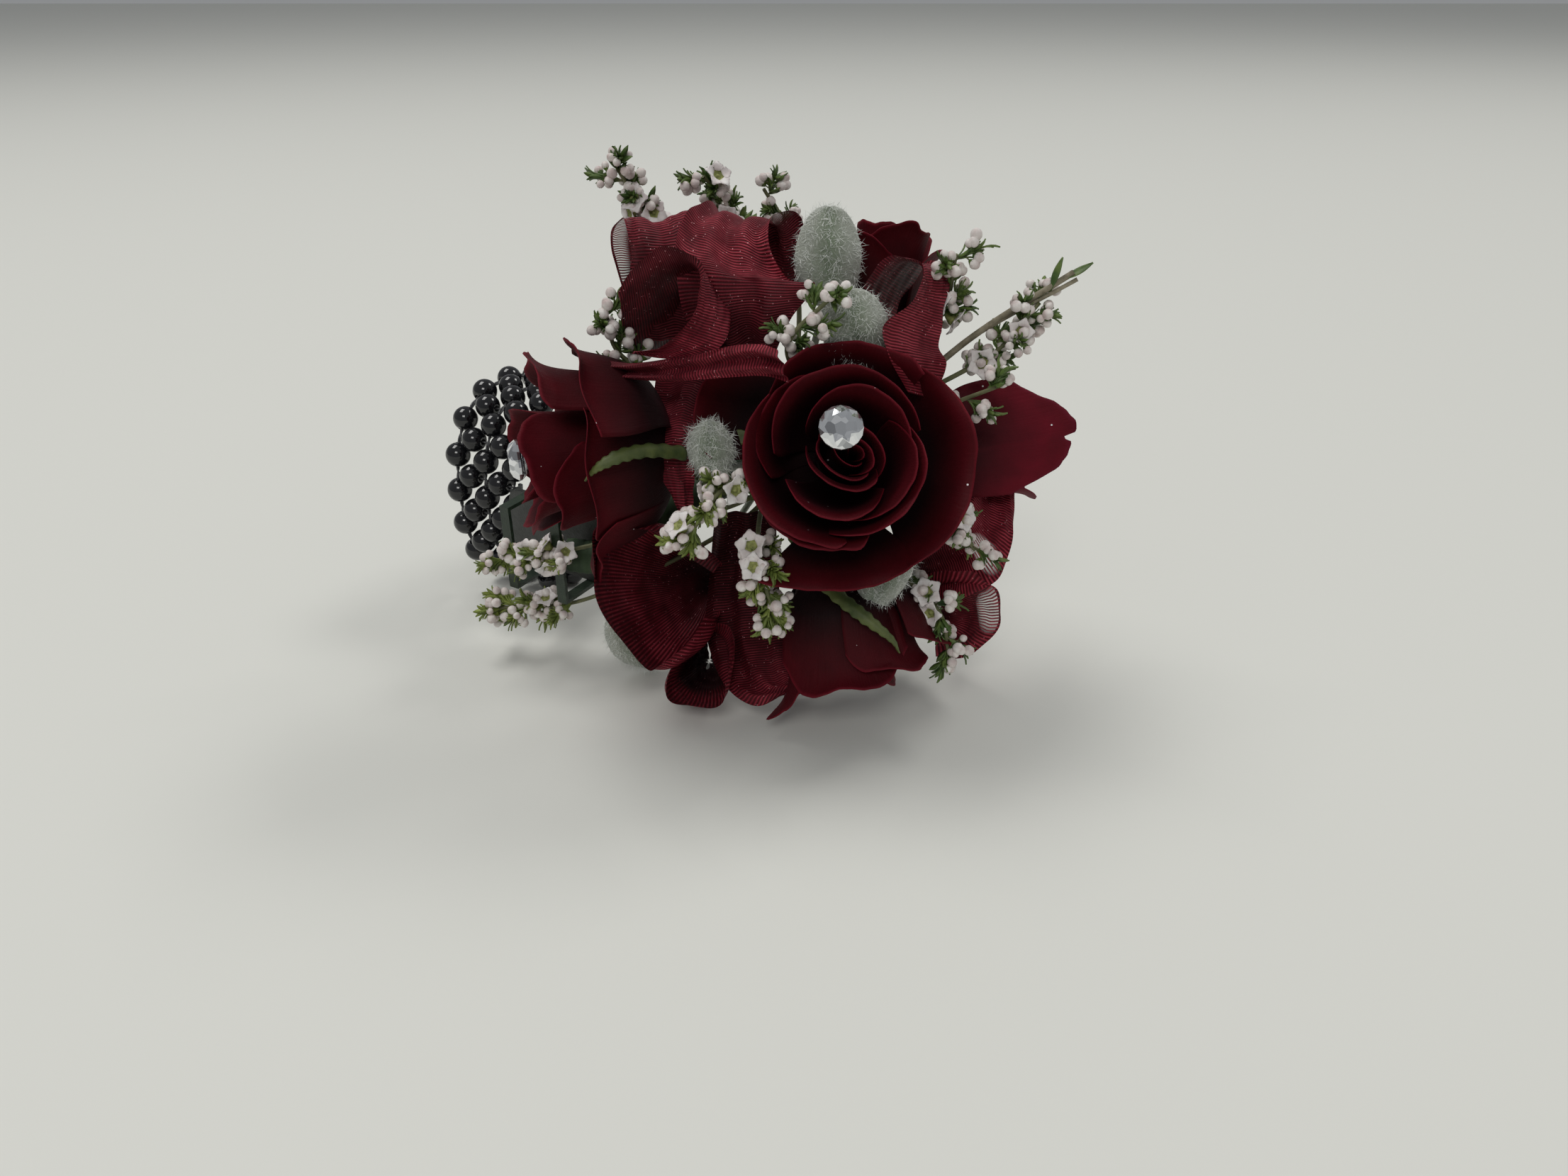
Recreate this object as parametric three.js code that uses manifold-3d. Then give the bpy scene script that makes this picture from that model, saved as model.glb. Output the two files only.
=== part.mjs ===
// Wrist corsage: roses, ribbon loops, soft leaves and small white bell flowers,
// bound to a clip plate on a stretch band of round beads.
// Millimetres, +Z up. The object stands on Z = 0 as it lies on a table, band on edge.
import * as THREE from 'three';
import { mergeVertices } from 'three/addons/utils/BufferGeometryUtils.js';
import Module from 'manifold-3d';

const wasm = await Module();
wasm.setup();

// Sizes of the whole
const clearance = 0.3; // gap kept between neighbouring pieces
const cluster = 100; // size that the places of flowers, loops and sprigs follow
const weldTolerance = 0.0001; // vertices closer than this are one
const simplifyTolerance = 0.03; // how far a surface may move when needless facets go
const softTolerance = 0.12; // the same for petals, ribbons, leaves and stems

// Stretch band: right-angle weave of round beads on elastic cord
const beadSize = 7.2;
const unitPitch = 10.75; // from one side bead to the next along the band
const unitsPerLength = 4; // units of weave in each moving length of band
const bandLengths = 4; // lengths of weave round the wrist
const bandUnitsWide = 2; // units of weave across the band
const bandSquareness = 2.5; // exponent of the rounded-square loop
const bandDepthShare = 0.8; // depth of the loop against its height
const bandYaw = -30; // degrees that the loop's axis is turned from X
const cordRadius = 0.6; // elastic along the band
const crossCordRadius = 0.3; // thread across the band
const strandSides = 5;
const beadRingShares = [-0.985, -0.5, 0.5, 0.985]; // rings from pole to pole of a bead
const boreRadius = 1.0; // bead bore that the elastic slides in
const boreDepth = 6.0;
const cordInsertion = 5.3; // elastic inside the next bead at rest
const bandFrontShare = [-0.86, 0.37]; // middle of the band's front, in shares of cluster

// Clip plate behind the flowers
const plateLength = 38;
const plateHeight = 22;
const plateThickness = 1.5;
const plateSetback = 3; // from the edge bead column to the plate's near end
const plateCorner = 4;
const prongWidth = 1.6;
const prongThickness = 0.8;
const prongBend = 1.85; // from the edge cord's axis to the middle of the prong

// Stem bundle, tape and ties
const bundleRadius = 5;
const hubRadius = 8;
const tieThickness = 1;
const tieWidth = 3;
const stemRadius = 1.5;

// Roses
const petalThickness = 0.8;
const receptacleShare = 0.13; // radius of the solid heart base in rose radii
const receptacleTopShare = 0.4;
const receptacleFlare = 1.2;
const heartCells = 3; // cells of a petal's mesh along its height
const guardCells = 4;
const collarShare = 0.17; // inner radius of the guard petals' collar in rose radii
const collarTopShare = 0.12;
const collarWallShare = 0.07;
const sepalThickness = 0.9;
const sepalWidth = 4.2;

// Rhinestone pins
const gemSize = 9.6;
const gemHeight = 5;
const gemTable = 5.4;
const gemGirdle = 0.8;
const shankRadius = 0.6;
const shankLength = 34;
const cupRadius = 2;

// Ribbon
const ribbonWidth = 36;
const ribbonThickness = 0.7;
const ribbonBow = 1.2; // how far the middle of a loop's width stands out

// Soft leaves
const leafThickness = 3;
const petioleRadius = 1.1;

// Sprigs
const twigRadius = 0.75;
const budSize = 3.9;
const bellSize = 6.2;
const bellDepth = 3.4;

const material = (color, roughness, metalness = 0) =>
  new THREE.MeshStandardMaterial({ color, roughness, metalness });

const beadBlack = material(0x08080a, 0.08);
const petalRed = material(0x5a0412, 0.62);
const petalBright = material(0x7a0a1c, 0.6);
const calyxGreen = material(0x4c6a26, 0.6);
const ribbonRed = material(0x6e1026, 0.45, 0.1);
const leafGrey = material(0x9aa79a, 0.9);
const sprigGreen = material(0x5c7a3a, 0.7);
const tapeGreen = material(0x3c5a34, 0.7);
const plateClear = material(0x20231f, 0.4);
const gemClear = material(0xe8ecf2, 0.05, 0.2);
const wireSteel = material(0xb8b8b8, 0.3, 0.9);

// Vector helpers
const vec = (x, y, z) => new THREE.Vector3(x, y, z);
const at = (share) => vec(...share).multiplyScalar(cluster);
const upAxis = vec(0, 0, 1);
const turnToUp = new THREE.Matrix4().makeRotationX(Math.PI / 2);

function frameFacing(place, aim, roll = 0) {
  const turn = new THREE.Quaternion().setFromUnitVectors(upAxis, aim.clone().normalize());
  turn.multiply(new THREE.Quaternion().setFromAxisAngle(upAxis, roll));
  return new THREE.Matrix4().compose(place, turn, vec(1, 1, 1));
}

// Solid helpers: a closed geometry becomes a solid that can be joined and cut
function toSolid(geometry) {
  geometry.deleteAttribute('normal');
  geometry.deleteAttribute('uv');
  const welded = mergeVertices(geometry, weldTolerance);
  return new wasm.Manifold(new wasm.Mesh({
    numProp: 3,
    vertProperties: new Float32Array(welded.attributes.position.array),
    triVerts: new Uint32Array(welded.index.array),
  }));
}

function toGeometry(solid) {
  const mesh = solid.getMesh();
  const geometry = new THREE.BufferGeometry();
  geometry.setAttribute('position', new THREE.BufferAttribute(mesh.vertProperties, 3));
  geometry.setIndex(new THREE.BufferAttribute(mesh.triVerts, 1));
  geometry.computeVertexNormals();
  return geometry;
}

const join = (solids) => solids.reduce((whole, next) => whole.add(next));

function largest(solid) {
  const parts = solid.decompose();
  const sorted = parts.sort((a, b) => b.volume() - a.volume());
  return sorted[0];
}

function rod(from, to, radius, sides = 8) {
  const run = to.clone().sub(from);
  const geometry = new THREE.CylinderGeometry(radius, radius, run.length(), sides);
  geometry.applyMatrix4(turnToUp);
  geometry.applyMatrix4(frameFacing(from.clone().lerp(to, 0.5), run));
  return toSolid(geometry);
}

function tube(points, radius, sides, steps) {
  const outline = new THREE.Shape();
  outline.absarc(0, 0, radius, 0, Math.PI * 2);
  const path = new THREE.CatmullRomCurve3(points);
  const geometry = new THREE.ExtrudeGeometry(outline, {
    curveSegments: sides, steps, bevelEnabled: false, extrudePath: path,
  });
  return toSolid(geometry);
}

function ball(centre, radius, axis = upAxis, around = 8, rings = 4) {
  const geometry = new THREE.SphereGeometry(radius, around, rings);
  geometry.applyMatrix4(turnToUp);
  geometry.applyMatrix4(frameFacing(centre, axis));
  return toSolid(geometry);
}

// A thin closed sheet over the surface pointAt(u, v), u and v from 0 to 1
function sheet(pointAt, across, along, thickness, grow = 0) {
  const half = thickness / 2 + grow;
  const grid = [];
  for (let j = 0; j <= along; j++) {
    const row = [];
    for (let i = 0; i <= across; i++) row.push(pointAt(i / across, j / along));
    grid.push(row);
  }
  const spread = (line) => {
    const last = line.length - 1;
    const start = line[0].clone().sub(line[1]).setLength(grow);
    const end = line[last].clone().sub(line[last - 1]).setLength(grow);
    line[0].add(start);
    line[last].add(end);
  };
  if (grow > 0) {
    grid.forEach(spread);
    for (let i = 0; i <= across; i++) spread(grid.map((row) => row[i]));
  }
  const corner = (i, j) => {
    const alongU = grid[j][Math.min(i + 1, across)].clone().sub(grid[j][Math.max(i - 1, 0)]);
    const alongV = grid[Math.min(j + 1, along)][i].clone().sub(grid[Math.max(j - 1, 0)][i]);
    return alongU.cross(alongV).setLength(half);
  };
  const positions = [];
  for (const side of [1, -1]) {
    for (let j = 0; j <= along; j++) {
      for (let i = 0; i <= across; i++) {
        const point = grid[j][i].clone().addScaledVector(corner(i, j), side);
        positions.push(point.x, point.y, point.z);
      }
    }
  }
  const perSide = (across + 1) * (along + 1);
  const index = (i, j, side) => side * perSide + j * (across + 1) + i;
  const faces = [];
  const quad = (a, b, c, d) => faces.push(a, b, c, a, c, d);
  for (let j = 0; j < along; j++) {
    for (let i = 0; i < across; i++) {
      quad(index(i, j, 0), index(i + 1, j, 0), index(i + 1, j + 1, 0), index(i, j + 1, 0));
      quad(index(i, j, 1), index(i, j + 1, 1), index(i + 1, j + 1, 1), index(i + 1, j, 1));
    }
  }
  for (let i = 0; i < across; i++) {
    quad(index(i, 0, 0), index(i, 0, 1), index(i + 1, 0, 1), index(i + 1, 0, 0));
    quad(index(i, along, 0), index(i + 1, along, 0), index(i + 1, along, 1), index(i, along, 1));
  }
  for (let j = 0; j < along; j++) {
    quad(index(0, j, 0), index(0, j + 1, 0), index(0, j + 1, 1), index(0, j, 1));
    quad(index(across, j, 0), index(across, j, 1), index(across, j + 1, 1), index(across, j + 1, 0));
  }
  const geometry = new THREE.BufferGeometry();
  geometry.setAttribute('position', new THREE.Float32BufferAttribute(positions, 3));
  geometry.setIndex(faces);
  return toSolid(geometry);
}

// Assembly: each piece is cut by the grown copies of the pieces before it,
// so that neighbours touch with the clearance between them
const corsage = new THREE.Group();
const placed = [];

const apart = (a, b) => [0, 1, 2].some((k) => a.min[k] > b.max[k] || b.min[k] > a.max[k]);

function flatten(solid) {
  const box = solid.boundingBox();
  if (box.min[2] >= 0) return solid;
  const slab = new THREE.BoxGeometry(cluster * 4, cluster * 4, cluster);
  slab.translate(0, 0, -cluster / 2);
  return solid.subtract(toSolid(slab));
}

function place(name, finish, frame, make, clear = make, cutters = placed) {
  let solid = flatten(make(0).transform(frame.elements));
  for (const other of cutters) {
    if (!apart(solid.boundingBox(), other.box)) solid = solid.subtract(other.grown);
  }
  solid = largest(solid.simplify(finish === beadBlack ? simplifyTolerance : softTolerance));
  const grown = clear(clearance).transform(frame.elements);
  placed.push({ name, grown, box: grown.boundingBox() });
  const mesh = new THREE.Mesh(
    toGeometry(solid.transform(frame.clone().invert().elements)), finish);
  mesh.name = name;
  frame.decompose(mesh.position, mesh.quaternion, mesh.scale);
  corsage.add(mesh);
}

const world = new THREE.Matrix4();

// Band loop: a rounded square, walked at even arc length
const yaw = THREE.MathUtils.degToRad(bandYaw);
const acrossBand = vec(Math.cos(yaw), Math.sin(yaw), 0);
const inward = vec(-Math.sin(yaw), Math.cos(yaw), 0);
const bandUnits = unitsPerLength * bandLengths;
const loopSamples = 720;

function loopShape(angle) {
  const power = (value) => Math.sign(value) * Math.abs(value) ** (2 / bandSquareness);
  return new THREE.Vector2(-bandDepthShare * power(Math.cos(angle)), power(Math.sin(angle)));
}

const loopRuler = [0];
for (let k = 1; k <= loopSamples; k++) {
  const step = loopShape((k / loopSamples) * 2 * Math.PI)
    .distanceTo(loopShape(((k - 1) / loopSamples) * 2 * Math.PI));
  loopRuler.push(loopRuler[k - 1] + step);
}
const loopScale = (bandUnits * unitPitch) / loopRuler[loopSamples];

function loopPoint(units) {
  const wrapped = ((units % bandUnits) + bandUnits) % bandUnits;
  const target = (wrapped * unitPitch) / loopScale;
  let k = loopRuler.findIndex((length) => length > target);
  if (k < 1) k = loopSamples;
  const part = (target - loopRuler[k - 1]) / (loopRuler[k] - loopRuler[k - 1]);
  return loopShape(((k - 1 + part) / loopSamples) * 2 * Math.PI).multiplyScalar(loopScale);
}

// Row numbers start so that the first length of weave is centred on the band's front
const frontRow = (unitsPerLength - 0.5) / 2;
const loopHalfDepth = loopScale * bandDepthShare;
const lowestRow = Math.min(...Array.from({ length: bandUnits * 2 },
  (_, k) => loopPoint(k / 2 - frontRow).y));
const bandCentre = vec(bandFrontShare[0] * cluster, bandFrontShare[1] * cluster, 0)
  .addScaledVector(inward, loopHalfDepth).setZ(beadSize / 2 - lowestRow);

function bandPlace(row, side = 0, out = 0) {
  const here = loopPoint(row - frontRow);
  const ahead = loopPoint(row - frontRow + 0.05);
  const behind = loopPoint(row - frontRow - 0.05);
  const run = ahead.sub(behind).normalize();
  const tangent = inward.clone().multiplyScalar(run.x).setZ(run.y);
  const outward = acrossBand.clone().cross(tangent).normalize();
  const point = bandCentre.clone().addScaledVector(inward, here.x)
    .setZ(bandCentre.z + here.y)
    .addScaledVector(acrossBand, side).addScaledVector(outward, out);
  return { point, tangent, outward };
}

// One string of beads: rings of points along the cord, swelling at each bead
function strand(stations, grow, sides = strandSides) {
  const positions = [];
  const faces = [];
  stations.forEach(({ point, axis, swing, radius }) => {
    const lift = axis.clone().cross(swing).normalize();
    for (let k = 0; k < sides; k++) {
      const angle = ((k + 0.5) / sides) * 2 * Math.PI;
      const reach = radius + grow;
      const spot = point.clone().addScaledVector(swing, reach * Math.cos(angle))
        .addScaledVector(lift, reach * Math.sin(angle));
      positions.push(spot.x, spot.y, spot.z);
    }
  });
  const ring = (j, k) => j * sides + (k % sides);
  for (let j = 0; j < stations.length - 1; j++) {
    for (let k = 0; k < sides; k++) {
      faces.push(ring(j, k), ring(j, k + 1), ring(j + 1, k + 1));
      faces.push(ring(j, k), ring(j + 1, k + 1), ring(j + 1, k));
    }
  }
  const last = stations.length - 1;
  for (let k = 1; k < sides - 1; k++) {
    faces.push(ring(0, 0), ring(0, k + 1), ring(0, k));
    faces.push(ring(last, 0), ring(last, k), ring(last, k + 1));
  }
  const geometry = new THREE.BufferGeometry();
  geometry.setAttribute('position', new THREE.Float32BufferAttribute(positions, 3));
  geometry.setIndex(faces);
  return toSolid(geometry);
}

// Rings of one bead, pole to pole, the poles no wider than the cord
function beadStations(centre, axis, swing, pole, grow) {
  const radius = beadSize / 2;
  return beadRingShares.map((share) => ({
    point: centre.clone().addScaledVector(axis, share * (radius + grow)),
    axis, swing, radius: Math.max(pole, radius * Math.sqrt(1 - share * share)),
  }));
}

function bandLength(first, grow) {
  const solids = [];
  const bores = [];
  const columns = Array.from({ length: bandUnitsWide + 1 },
    (_, k) => (k - bandUnitsWide / 2) * unitPitch);
  const nextRow = first + unitsPerLength;
  for (const side of columns) {
    const stations = [];
    for (let row = first; row < nextRow; row++) {
      const { point, tangent } = bandPlace(row, side);
      const knot = bandPlace(row + 0.5, side);
      stations.push(...beadStations(point, tangent, acrossBand, cordRadius, grow));
      stations.push({ point: knot.point, axis: knot.tangent, swing: acrossBand, radius: cordRadius });
    }
    const next = bandPlace(nextRow, side);
    for (const reach of [-beadSize / 2 - clearance, cordInsertion - beadSize / 2 + grow]) {
      const point = next.point.clone().addScaledVector(next.tangent, reach);
      stations.push({ point, axis: next.tangent, swing: acrossBand, radius: cordRadius });
    }
    solids.push(strand(stations, grow));
    const bored = bandPlace(first, side);
    const mouth = bored.point.clone().addScaledVector(bored.tangent, -beadSize);
    const bottom = bored.point.clone().addScaledVector(bored.tangent, boreDepth - beadSize / 2);
    bores.push(rod(mouth, bottom, boreRadius - grow, 6));
  }
  for (let row = first; row < nextRow; row++) {
    const { outward } = bandPlace(row + 0.5);
    const end = (side) => ({
      point: bandPlace(row + 0.5, side).point, axis: acrossBand, swing: outward,
      radius: crossCordRadius,
    });
    const stations = [end(columns[0])];
    for (const side of columns.slice(0, -1)) {
      const centre = bandPlace(row + 0.5, side + unitPitch / 2).point;
      stations.push(...beadStations(centre, acrossBand, outward, crossCordRadius, grow));
    }
    stations.push(end(columns[columns.length - 1]));
    solids.push(strand(stations, grow));
  }
  return join(solids).subtract(join(bores));
}

const lengthNames = ['band_front', 'band_top', 'band_back', 'band_bottom'];
lengthNames.forEach((name, k) => {
  place(name, beadBlack, world, (grow) => bandLength(k * unitsPerLength, grow), undefined, []);
});

// Clip plate beside the band's front, with two prongs crimped round the edge cord
const edgeColumn = (bandUnitsWide / 2) * unitPitch;
const plateOut = beadSize / 2 + clearance + plateThickness / 2;
const plateMiddle = bandPlace(frontRow, edgeColumn + plateSetback + plateLength / 2, plateOut);
const plateFrame = new THREE.Matrix4().makeBasis(acrossBand, upAxis,
  inward.clone().negate()).setPosition(plateMiddle.point);

function roundedPlate(length, height, thickness, radius) {
  const outline = new THREE.Shape();
  const x = length / 2;
  const y = height / 2;
  outline.absarc(x - radius, y - radius, radius, 0, Math.PI / 2);
  outline.absarc(radius - x, y - radius, radius, Math.PI / 2, Math.PI);
  outline.absarc(radius - x, radius - y, radius, Math.PI, Math.PI * 1.5);
  outline.absarc(x - radius, radius - y, radius, Math.PI * 1.5, Math.PI * 2);
  const geometry = new THREE.ExtrudeGeometry(outline,
    { depth: thickness, curveSegments: 4, bevelEnabled: false });
  geometry.translate(0, 0, -thickness / 2);
  return geometry;
}

function prong(row, grow) {
  const points = [
    [plateSetback + plateCorner, plateOut],
    [plateSetback, plateOut],
    [prongBend, prongBend],
    [prongBend, 0],
    [prongBend / 2, -prongBend],
    [0, -prongBend],
  ].map(([side, out]) => bandPlace(row, edgeColumn + side, out).point);
  const width = bandPlace(row).tangent.multiplyScalar(prongWidth / 2 + grow);
  const path = new THREE.CatmullRomCurve3(points, false, 'centripetal');
  const along = 10;
  return sheet((u, v) => path.getPoint(v).addScaledVector(width, 2 * u - 1),
    1, along, prongThickness, grow);
}

place('clip_plate', plateClear, world, (grow) => join([
  toSolid(roundedPlate(plateLength + 2 * grow, plateHeight + 2 * grow,
    plateThickness + 2 * grow, plateCorner).applyMatrix4(plateFrame)),
  prong(frontRow - 1.25, grow),
  prong(frontRow + 0.75, grow),
]));

// Stem bundle from the clip plate to the hub behind the front rose
const hubShare = [0.0, 0.11, 0.6];
const bundleBendShare = [-0.28, 0.11, 0.46];
const hub = at(hubShare);
const plateFace = bandPlace(frontRow, edgeColumn + plateSetback + plateLength / 2,
  plateOut + plateThickness / 2 + clearance + bundleRadius).point;
const bundleEnd = plateFace.clone().addScaledVector(acrossBand, -plateLength / 3);

place('stem_bundle', tapeGreen, world, (grow) => join([
  tube([bundleEnd, plateFace, at(bundleBendShare), hub], bundleRadius + grow, 6, 6),
  ball(hub, hubRadius + grow, upAxis, 6, 4),
]));

function tie(grow) {
  const wide = plateHeight / 2 + clearance;
  const deep = plateThickness + clearance * 2 + bundleRadius * 2;
  const ring = (extra) => {
    const outline = new THREE.Path();
    const x = wide + extra;
    const y = deep / 2 + clearance + extra;
    outline.moveTo(x, -y).lineTo(x, y).lineTo(-x, y).lineTo(-x, -y).lineTo(x, -y);
    return outline;
  };
  const outline = new THREE.Shape(ring(tieThickness + grow).getPoints());
  outline.holes.push(ring(-grow));
  const width = tieWidth + 2 * grow;
  const geometry = new THREE.ExtrudeGeometry(outline,
    { depth: width, curveSegments: 1, bevelEnabled: false });
  geometry.translate(0, 0, -width / 2);
  return toSolid(geometry);
}

for (const [name, share] of [['tie_upper', -0.25], ['tie_lower', 0.2]]) {
  const centre = bandPlace(frontRow, edgeColumn + plateSetback + plateLength / 2 + share * plateLength,
    beadSize / 2 + clearance * 2 + (plateThickness + bundleRadius * 2) / 2).point;
  const frame = new THREE.Matrix4().makeBasis(upAxis, inward, acrossBand).setPosition(centre);
  place(name, wireSteel, frame, tie);
}

// Roses: each in its own frame, opening along +Z from its base
const roses = [
  {
    name: 'front_rose', placeShare: [0.13, -0.12, 0.67], aim: [0, -0.88, 0.48], turn: 0.3,
    size: 24, height: 30, bright: false,
    heart: [
      { count: 2, radiusShare: 0.24, heightShare: 0.86, curlShare: 0.02, holdShare: 0.7,
        half: 1.5, start: 0.4 },
      { count: 3, radiusShare: 0.42, heightShare: 0.94, curlShare: 0.04, holdShare: 0.7,
        half: 1.2, start: 1.2 },
      { count: 3, radiusShare: 0.6, heightShare: 1, curlShare: 0.08, holdShare: 0.7,
        half: 1.15, start: 0.1 },
    ],
    guard: [
      { count: 5, radiusShare: 0.92, heightShare: 0.84, curlShare: 0.14, holdShare: 0.7,
        half: 0.85, start: 0.5 },
      { count: 1, radiusShare: 1.12, heightShare: 0.7, curlShare: 0.16, holdShare: 0.7,
        half: 0.75, start: 2.6 },
    ],
  },
  {
    name: 'left_rose', placeShare: [-0.26, -0.05, 0.69], aim: [-0.94, -0.3, 0.0], turn: 0.9,
    size: 24, height: 41, bright: false,
    heart: [
      { count: 2, radiusShare: 0.24, heightShare: 0.9, curlShare: 0.02, holdShare: 0.7,
        half: 1.5, start: 0.2 },
      { count: 3, radiusShare: 0.45, heightShare: 0.97, curlShare: 0.08, holdShare: 0.7,
        half: 1.15, start: 0.8 },
    ],
    guard: [
      { count: 1, radiusShare: 0.34, heightShare: 0.94, curlShare: 0.20, holdShare: 0.68,
        half: 1.31, start: 0.46 },
      { count: 1, radiusShare: 0.35, heightShare: 0.91, curlShare: 0.30, holdShare: 0.72,
        half: 1.12, start: 4.68 },
      { count: 1, radiusShare: 0.32, heightShare: 0.93, curlShare: 0.30, holdShare: 0.72,
        half: 1.08, start: 2.81 },
      { count: 1, radiusShare: 0.71, heightShare: 0.80, curlShare: 0.41, holdShare: 0.84,
        half: 0.77, start: 5.80 },
      { count: 1, radiusShare: 0.37, heightShare: 0.85, curlShare: 0.42, holdShare: 0.82,
        half: 0.80, start: 2.20 },
      { count: 1, radiusShare: 0.39, heightShare: 0.77, curlShare: 0.38, holdShare: 0.82,
        half: 0.91, start: 3.86 },
      { count: 1, radiusShare: 0.65, heightShare: 0.60, curlShare: 0.35, holdShare: 0.98,
        half: 1.08, start: 4.37 },
      { count: 1, radiusShare: 0.97, heightShare: 0.56, curlShare: 0.33, holdShare: 0.99,
        half: 0.66, start: 5.41 },
      { count: 1, radiusShare: 0.79, heightShare: 0.57, curlShare: 0.33, holdShare: 0.98,
        half: 0.73, start: 2.93 },
      { count: 1, radiusShare: 0.58, heightShare: 0.63, curlShare: 0.35, holdShare: 0.91,
        half: 1.08, start: 1.07 },
    ],
  },
  {
    name: 'bottom_rose', placeShare: [0.12, -0.12, 0.4], aim: [0.12, -0.42, -0.9], turn: 0.2,
    size: 22, height: 33, bright: false,
    heart: [
      { count: 3, radiusShare: 0.3, heightShare: 0.92, curlShare: 0.02, holdShare: 0.7,
        half: 1.3, start: 0.4 },
    ],
    guard: [
      { count: 1, radiusShare: 0.29, heightShare: 0.95, curlShare: 0.21, holdShare: 0.69,
        half: 1.15, start: 3.57 },
      { count: 1, radiusShare: 0.33, heightShare: 0.94, curlShare: 0.24, holdShare: 0.71,
        half: 1.15, start: 0.78 },
      { count: 1, radiusShare: 0.35, heightShare: 0.88, curlShare: 0.29, holdShare: 0.74,
        half: 0.98, start: 5.31 },
      { count: 1, radiusShare: 0.43, heightShare: 1.05, curlShare: 0.37, holdShare: 0.76,
        half: 0.70, start: 3.32 },
      { count: 1, radiusShare: 0.45, heightShare: 0.89, curlShare: 0.39, holdShare: 0.83,
        half: 1.08, start: 2.03, flatShare: 0.2 },
      { count: 1, radiusShare: 0.60, heightShare: 0.80, curlShare: 0.37, holdShare: 0.86,
        half: 0.91, start: 0.99 },
      { count: 1, radiusShare: 0.90, heightShare: 0.67, curlShare: 0.33, holdShare: 0.92,
        half: 0.80, start: 0.29 },
      { count: 1, radiusShare: 0.44, heightShare: 0.76, curlShare: 0.33, holdShare: 0.83,
        half: 0.87, start: 4.58 },
    ],
  },
  {
    name: 'top_rose', placeShare: [0.22, 0.14, 0.9], aim: [0.12, 0.25, 0.95], turn: 0.1,
    size: 17, height: 28, bright: false,
    heart: [
      { count: 3, radiusShare: 0.32, heightShare: 1, curlShare: 0.02, holdShare: 0.7,
        half: 1.3, start: 0.4 },
    ],
    guard: [
      { count: 4, radiusShare: 0.8, heightShare: 0.94, curlShare: 0.12, holdShare: 0.7,
        half: 0.95, start: 0.5 },
    ],
  },
  {
    name: 'right_rose', placeShare: [0.31, 0.04, 0.62], aim: [0.96, 0.1, 0.12], turn: 0,
    size: 24, height: 42, bright: true,
    heart: [
      { count: 3, radiusShare: 0.34, heightShare: 0.72, curlShare: 0.02, holdShare: 0.7,
        half: 1.3, start: 0.4 },
    ],
    guard: [
      { count: 1, radiusShare: 0.39, heightShare: 0.74, curlShare: 0.19, holdShare: 0.69,
        half: 1.31, start: 2.02 },
      { count: 1, radiusShare: 0.36, heightShare: 0.74, curlShare: 0.28, holdShare: 0.74,
        half: 1.08, start: 6.25 },
      { count: 1, radiusShare: 0.42, heightShare: 0.93, curlShare: 0.19, holdShare: 0.68,
        half: 0.94, start: 4.36, flatShare: 0.6 },
    ],
  },
];

// A petal starts narrow at the base, bellies out and rounds off at its rim
const petalFootShare = 0.04;
const petalBellyShare = 0.16;
const petalBellyReach = 1.1;
const petalRimRound = 0.3;
const petalNarrowShare = 0.62;
const petalWidestShare = 0.71;
const petalLapShare = 0.1;
const flatLimit = 0.4; // cosine beyond which a flattened petal grows no wider

function petalPoint(rose, layer, middle, baseShare, u, v) {
  const side = 2 * u - 1;
  const rise = v * (1 - petalRimRound * Math.abs(side) ** 3);
  const reach = layer.radiusShare - baseShare;
  const profile = new THREE.CubicBezierCurve(
    new THREE.Vector2(baseShare * rose.size, petalFootShare * rose.height),
    new THREE.Vector2((baseShare + reach * petalBellyReach) * rose.size, petalBellyShare * rose.height),
    new THREE.Vector2(layer.radiusShare * rose.size,
      layer.holdShare * layer.heightShare * rose.height),
    new THREE.Vector2((layer.radiusShare + layer.curlShare) * rose.size,
      layer.heightShare * rose.height),
  ).getPoint(rise);
  const opening = Math.sin(Math.min(1, v / petalWidestShare) * Math.PI / 2);
  const swing = side * layer.half * (petalNarrowShare + (1 - petalNarrowShare) * opening);
  const widening = (layer.flatShare || 0) * (1 / Math.max(Math.cos(swing), flatLimit) - 1);
  const out = profile.x * (1 - petalLapShare * side * Math.abs(side)) * (1 + widening);
  return vec(out * Math.cos(middle + swing), out * Math.sin(middle + swing), profile.y);
}

function petals(rose, layers, baseShare, along, grow) {
  const solids = [];
  for (const layer of layers) {
    for (let k = 0; k < layer.count; k++) {
      const middle = layer.start + (k / layer.count) * 2 * Math.PI;
      solids.push(sheet((u, v) => petalPoint(rose, layer, middle, baseShare, u, v),
        3, along, petalThickness, grow));
    }
  }
  return solids;
}

function turned(points, sides = 6) {
  const geometry = new THREE.LatheGeometry(
    points.map(([x, y]) => new THREE.Vector2(x, y)), sides);
  geometry.applyMatrix4(turnToUp);
  return toSolid(geometry);
}

function heart(rose, grow) {
  const radius = receptacleShare * rose.size + grow;
  const top = receptacleTopShare * rose.height;
  const low = clearance - grow;
  const base = turned([[0, low], [radius, low], [radius * receptacleFlare, top], [0, top]]);
  return join([base, ...petals(rose, rose.heart, receptacleShare * 0.6, heartCells, grow)]);
}

function guard(rose, grow) {
  const inner = collarShare * rose.size - grow;
  const outer = (collarShare + collarWallShare) * rose.size + grow;
  const low = clearance - grow;
  const high = collarTopShare * rose.height + grow;
  const collar = turned([[inner, low], [outer, low], [outer, high], [inner, high], [inner, low]]);
  return join([collar, ...petals(rose, rose.guard, collarShare + collarWallShare / 2, guardCells, grow)]);
}

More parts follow.
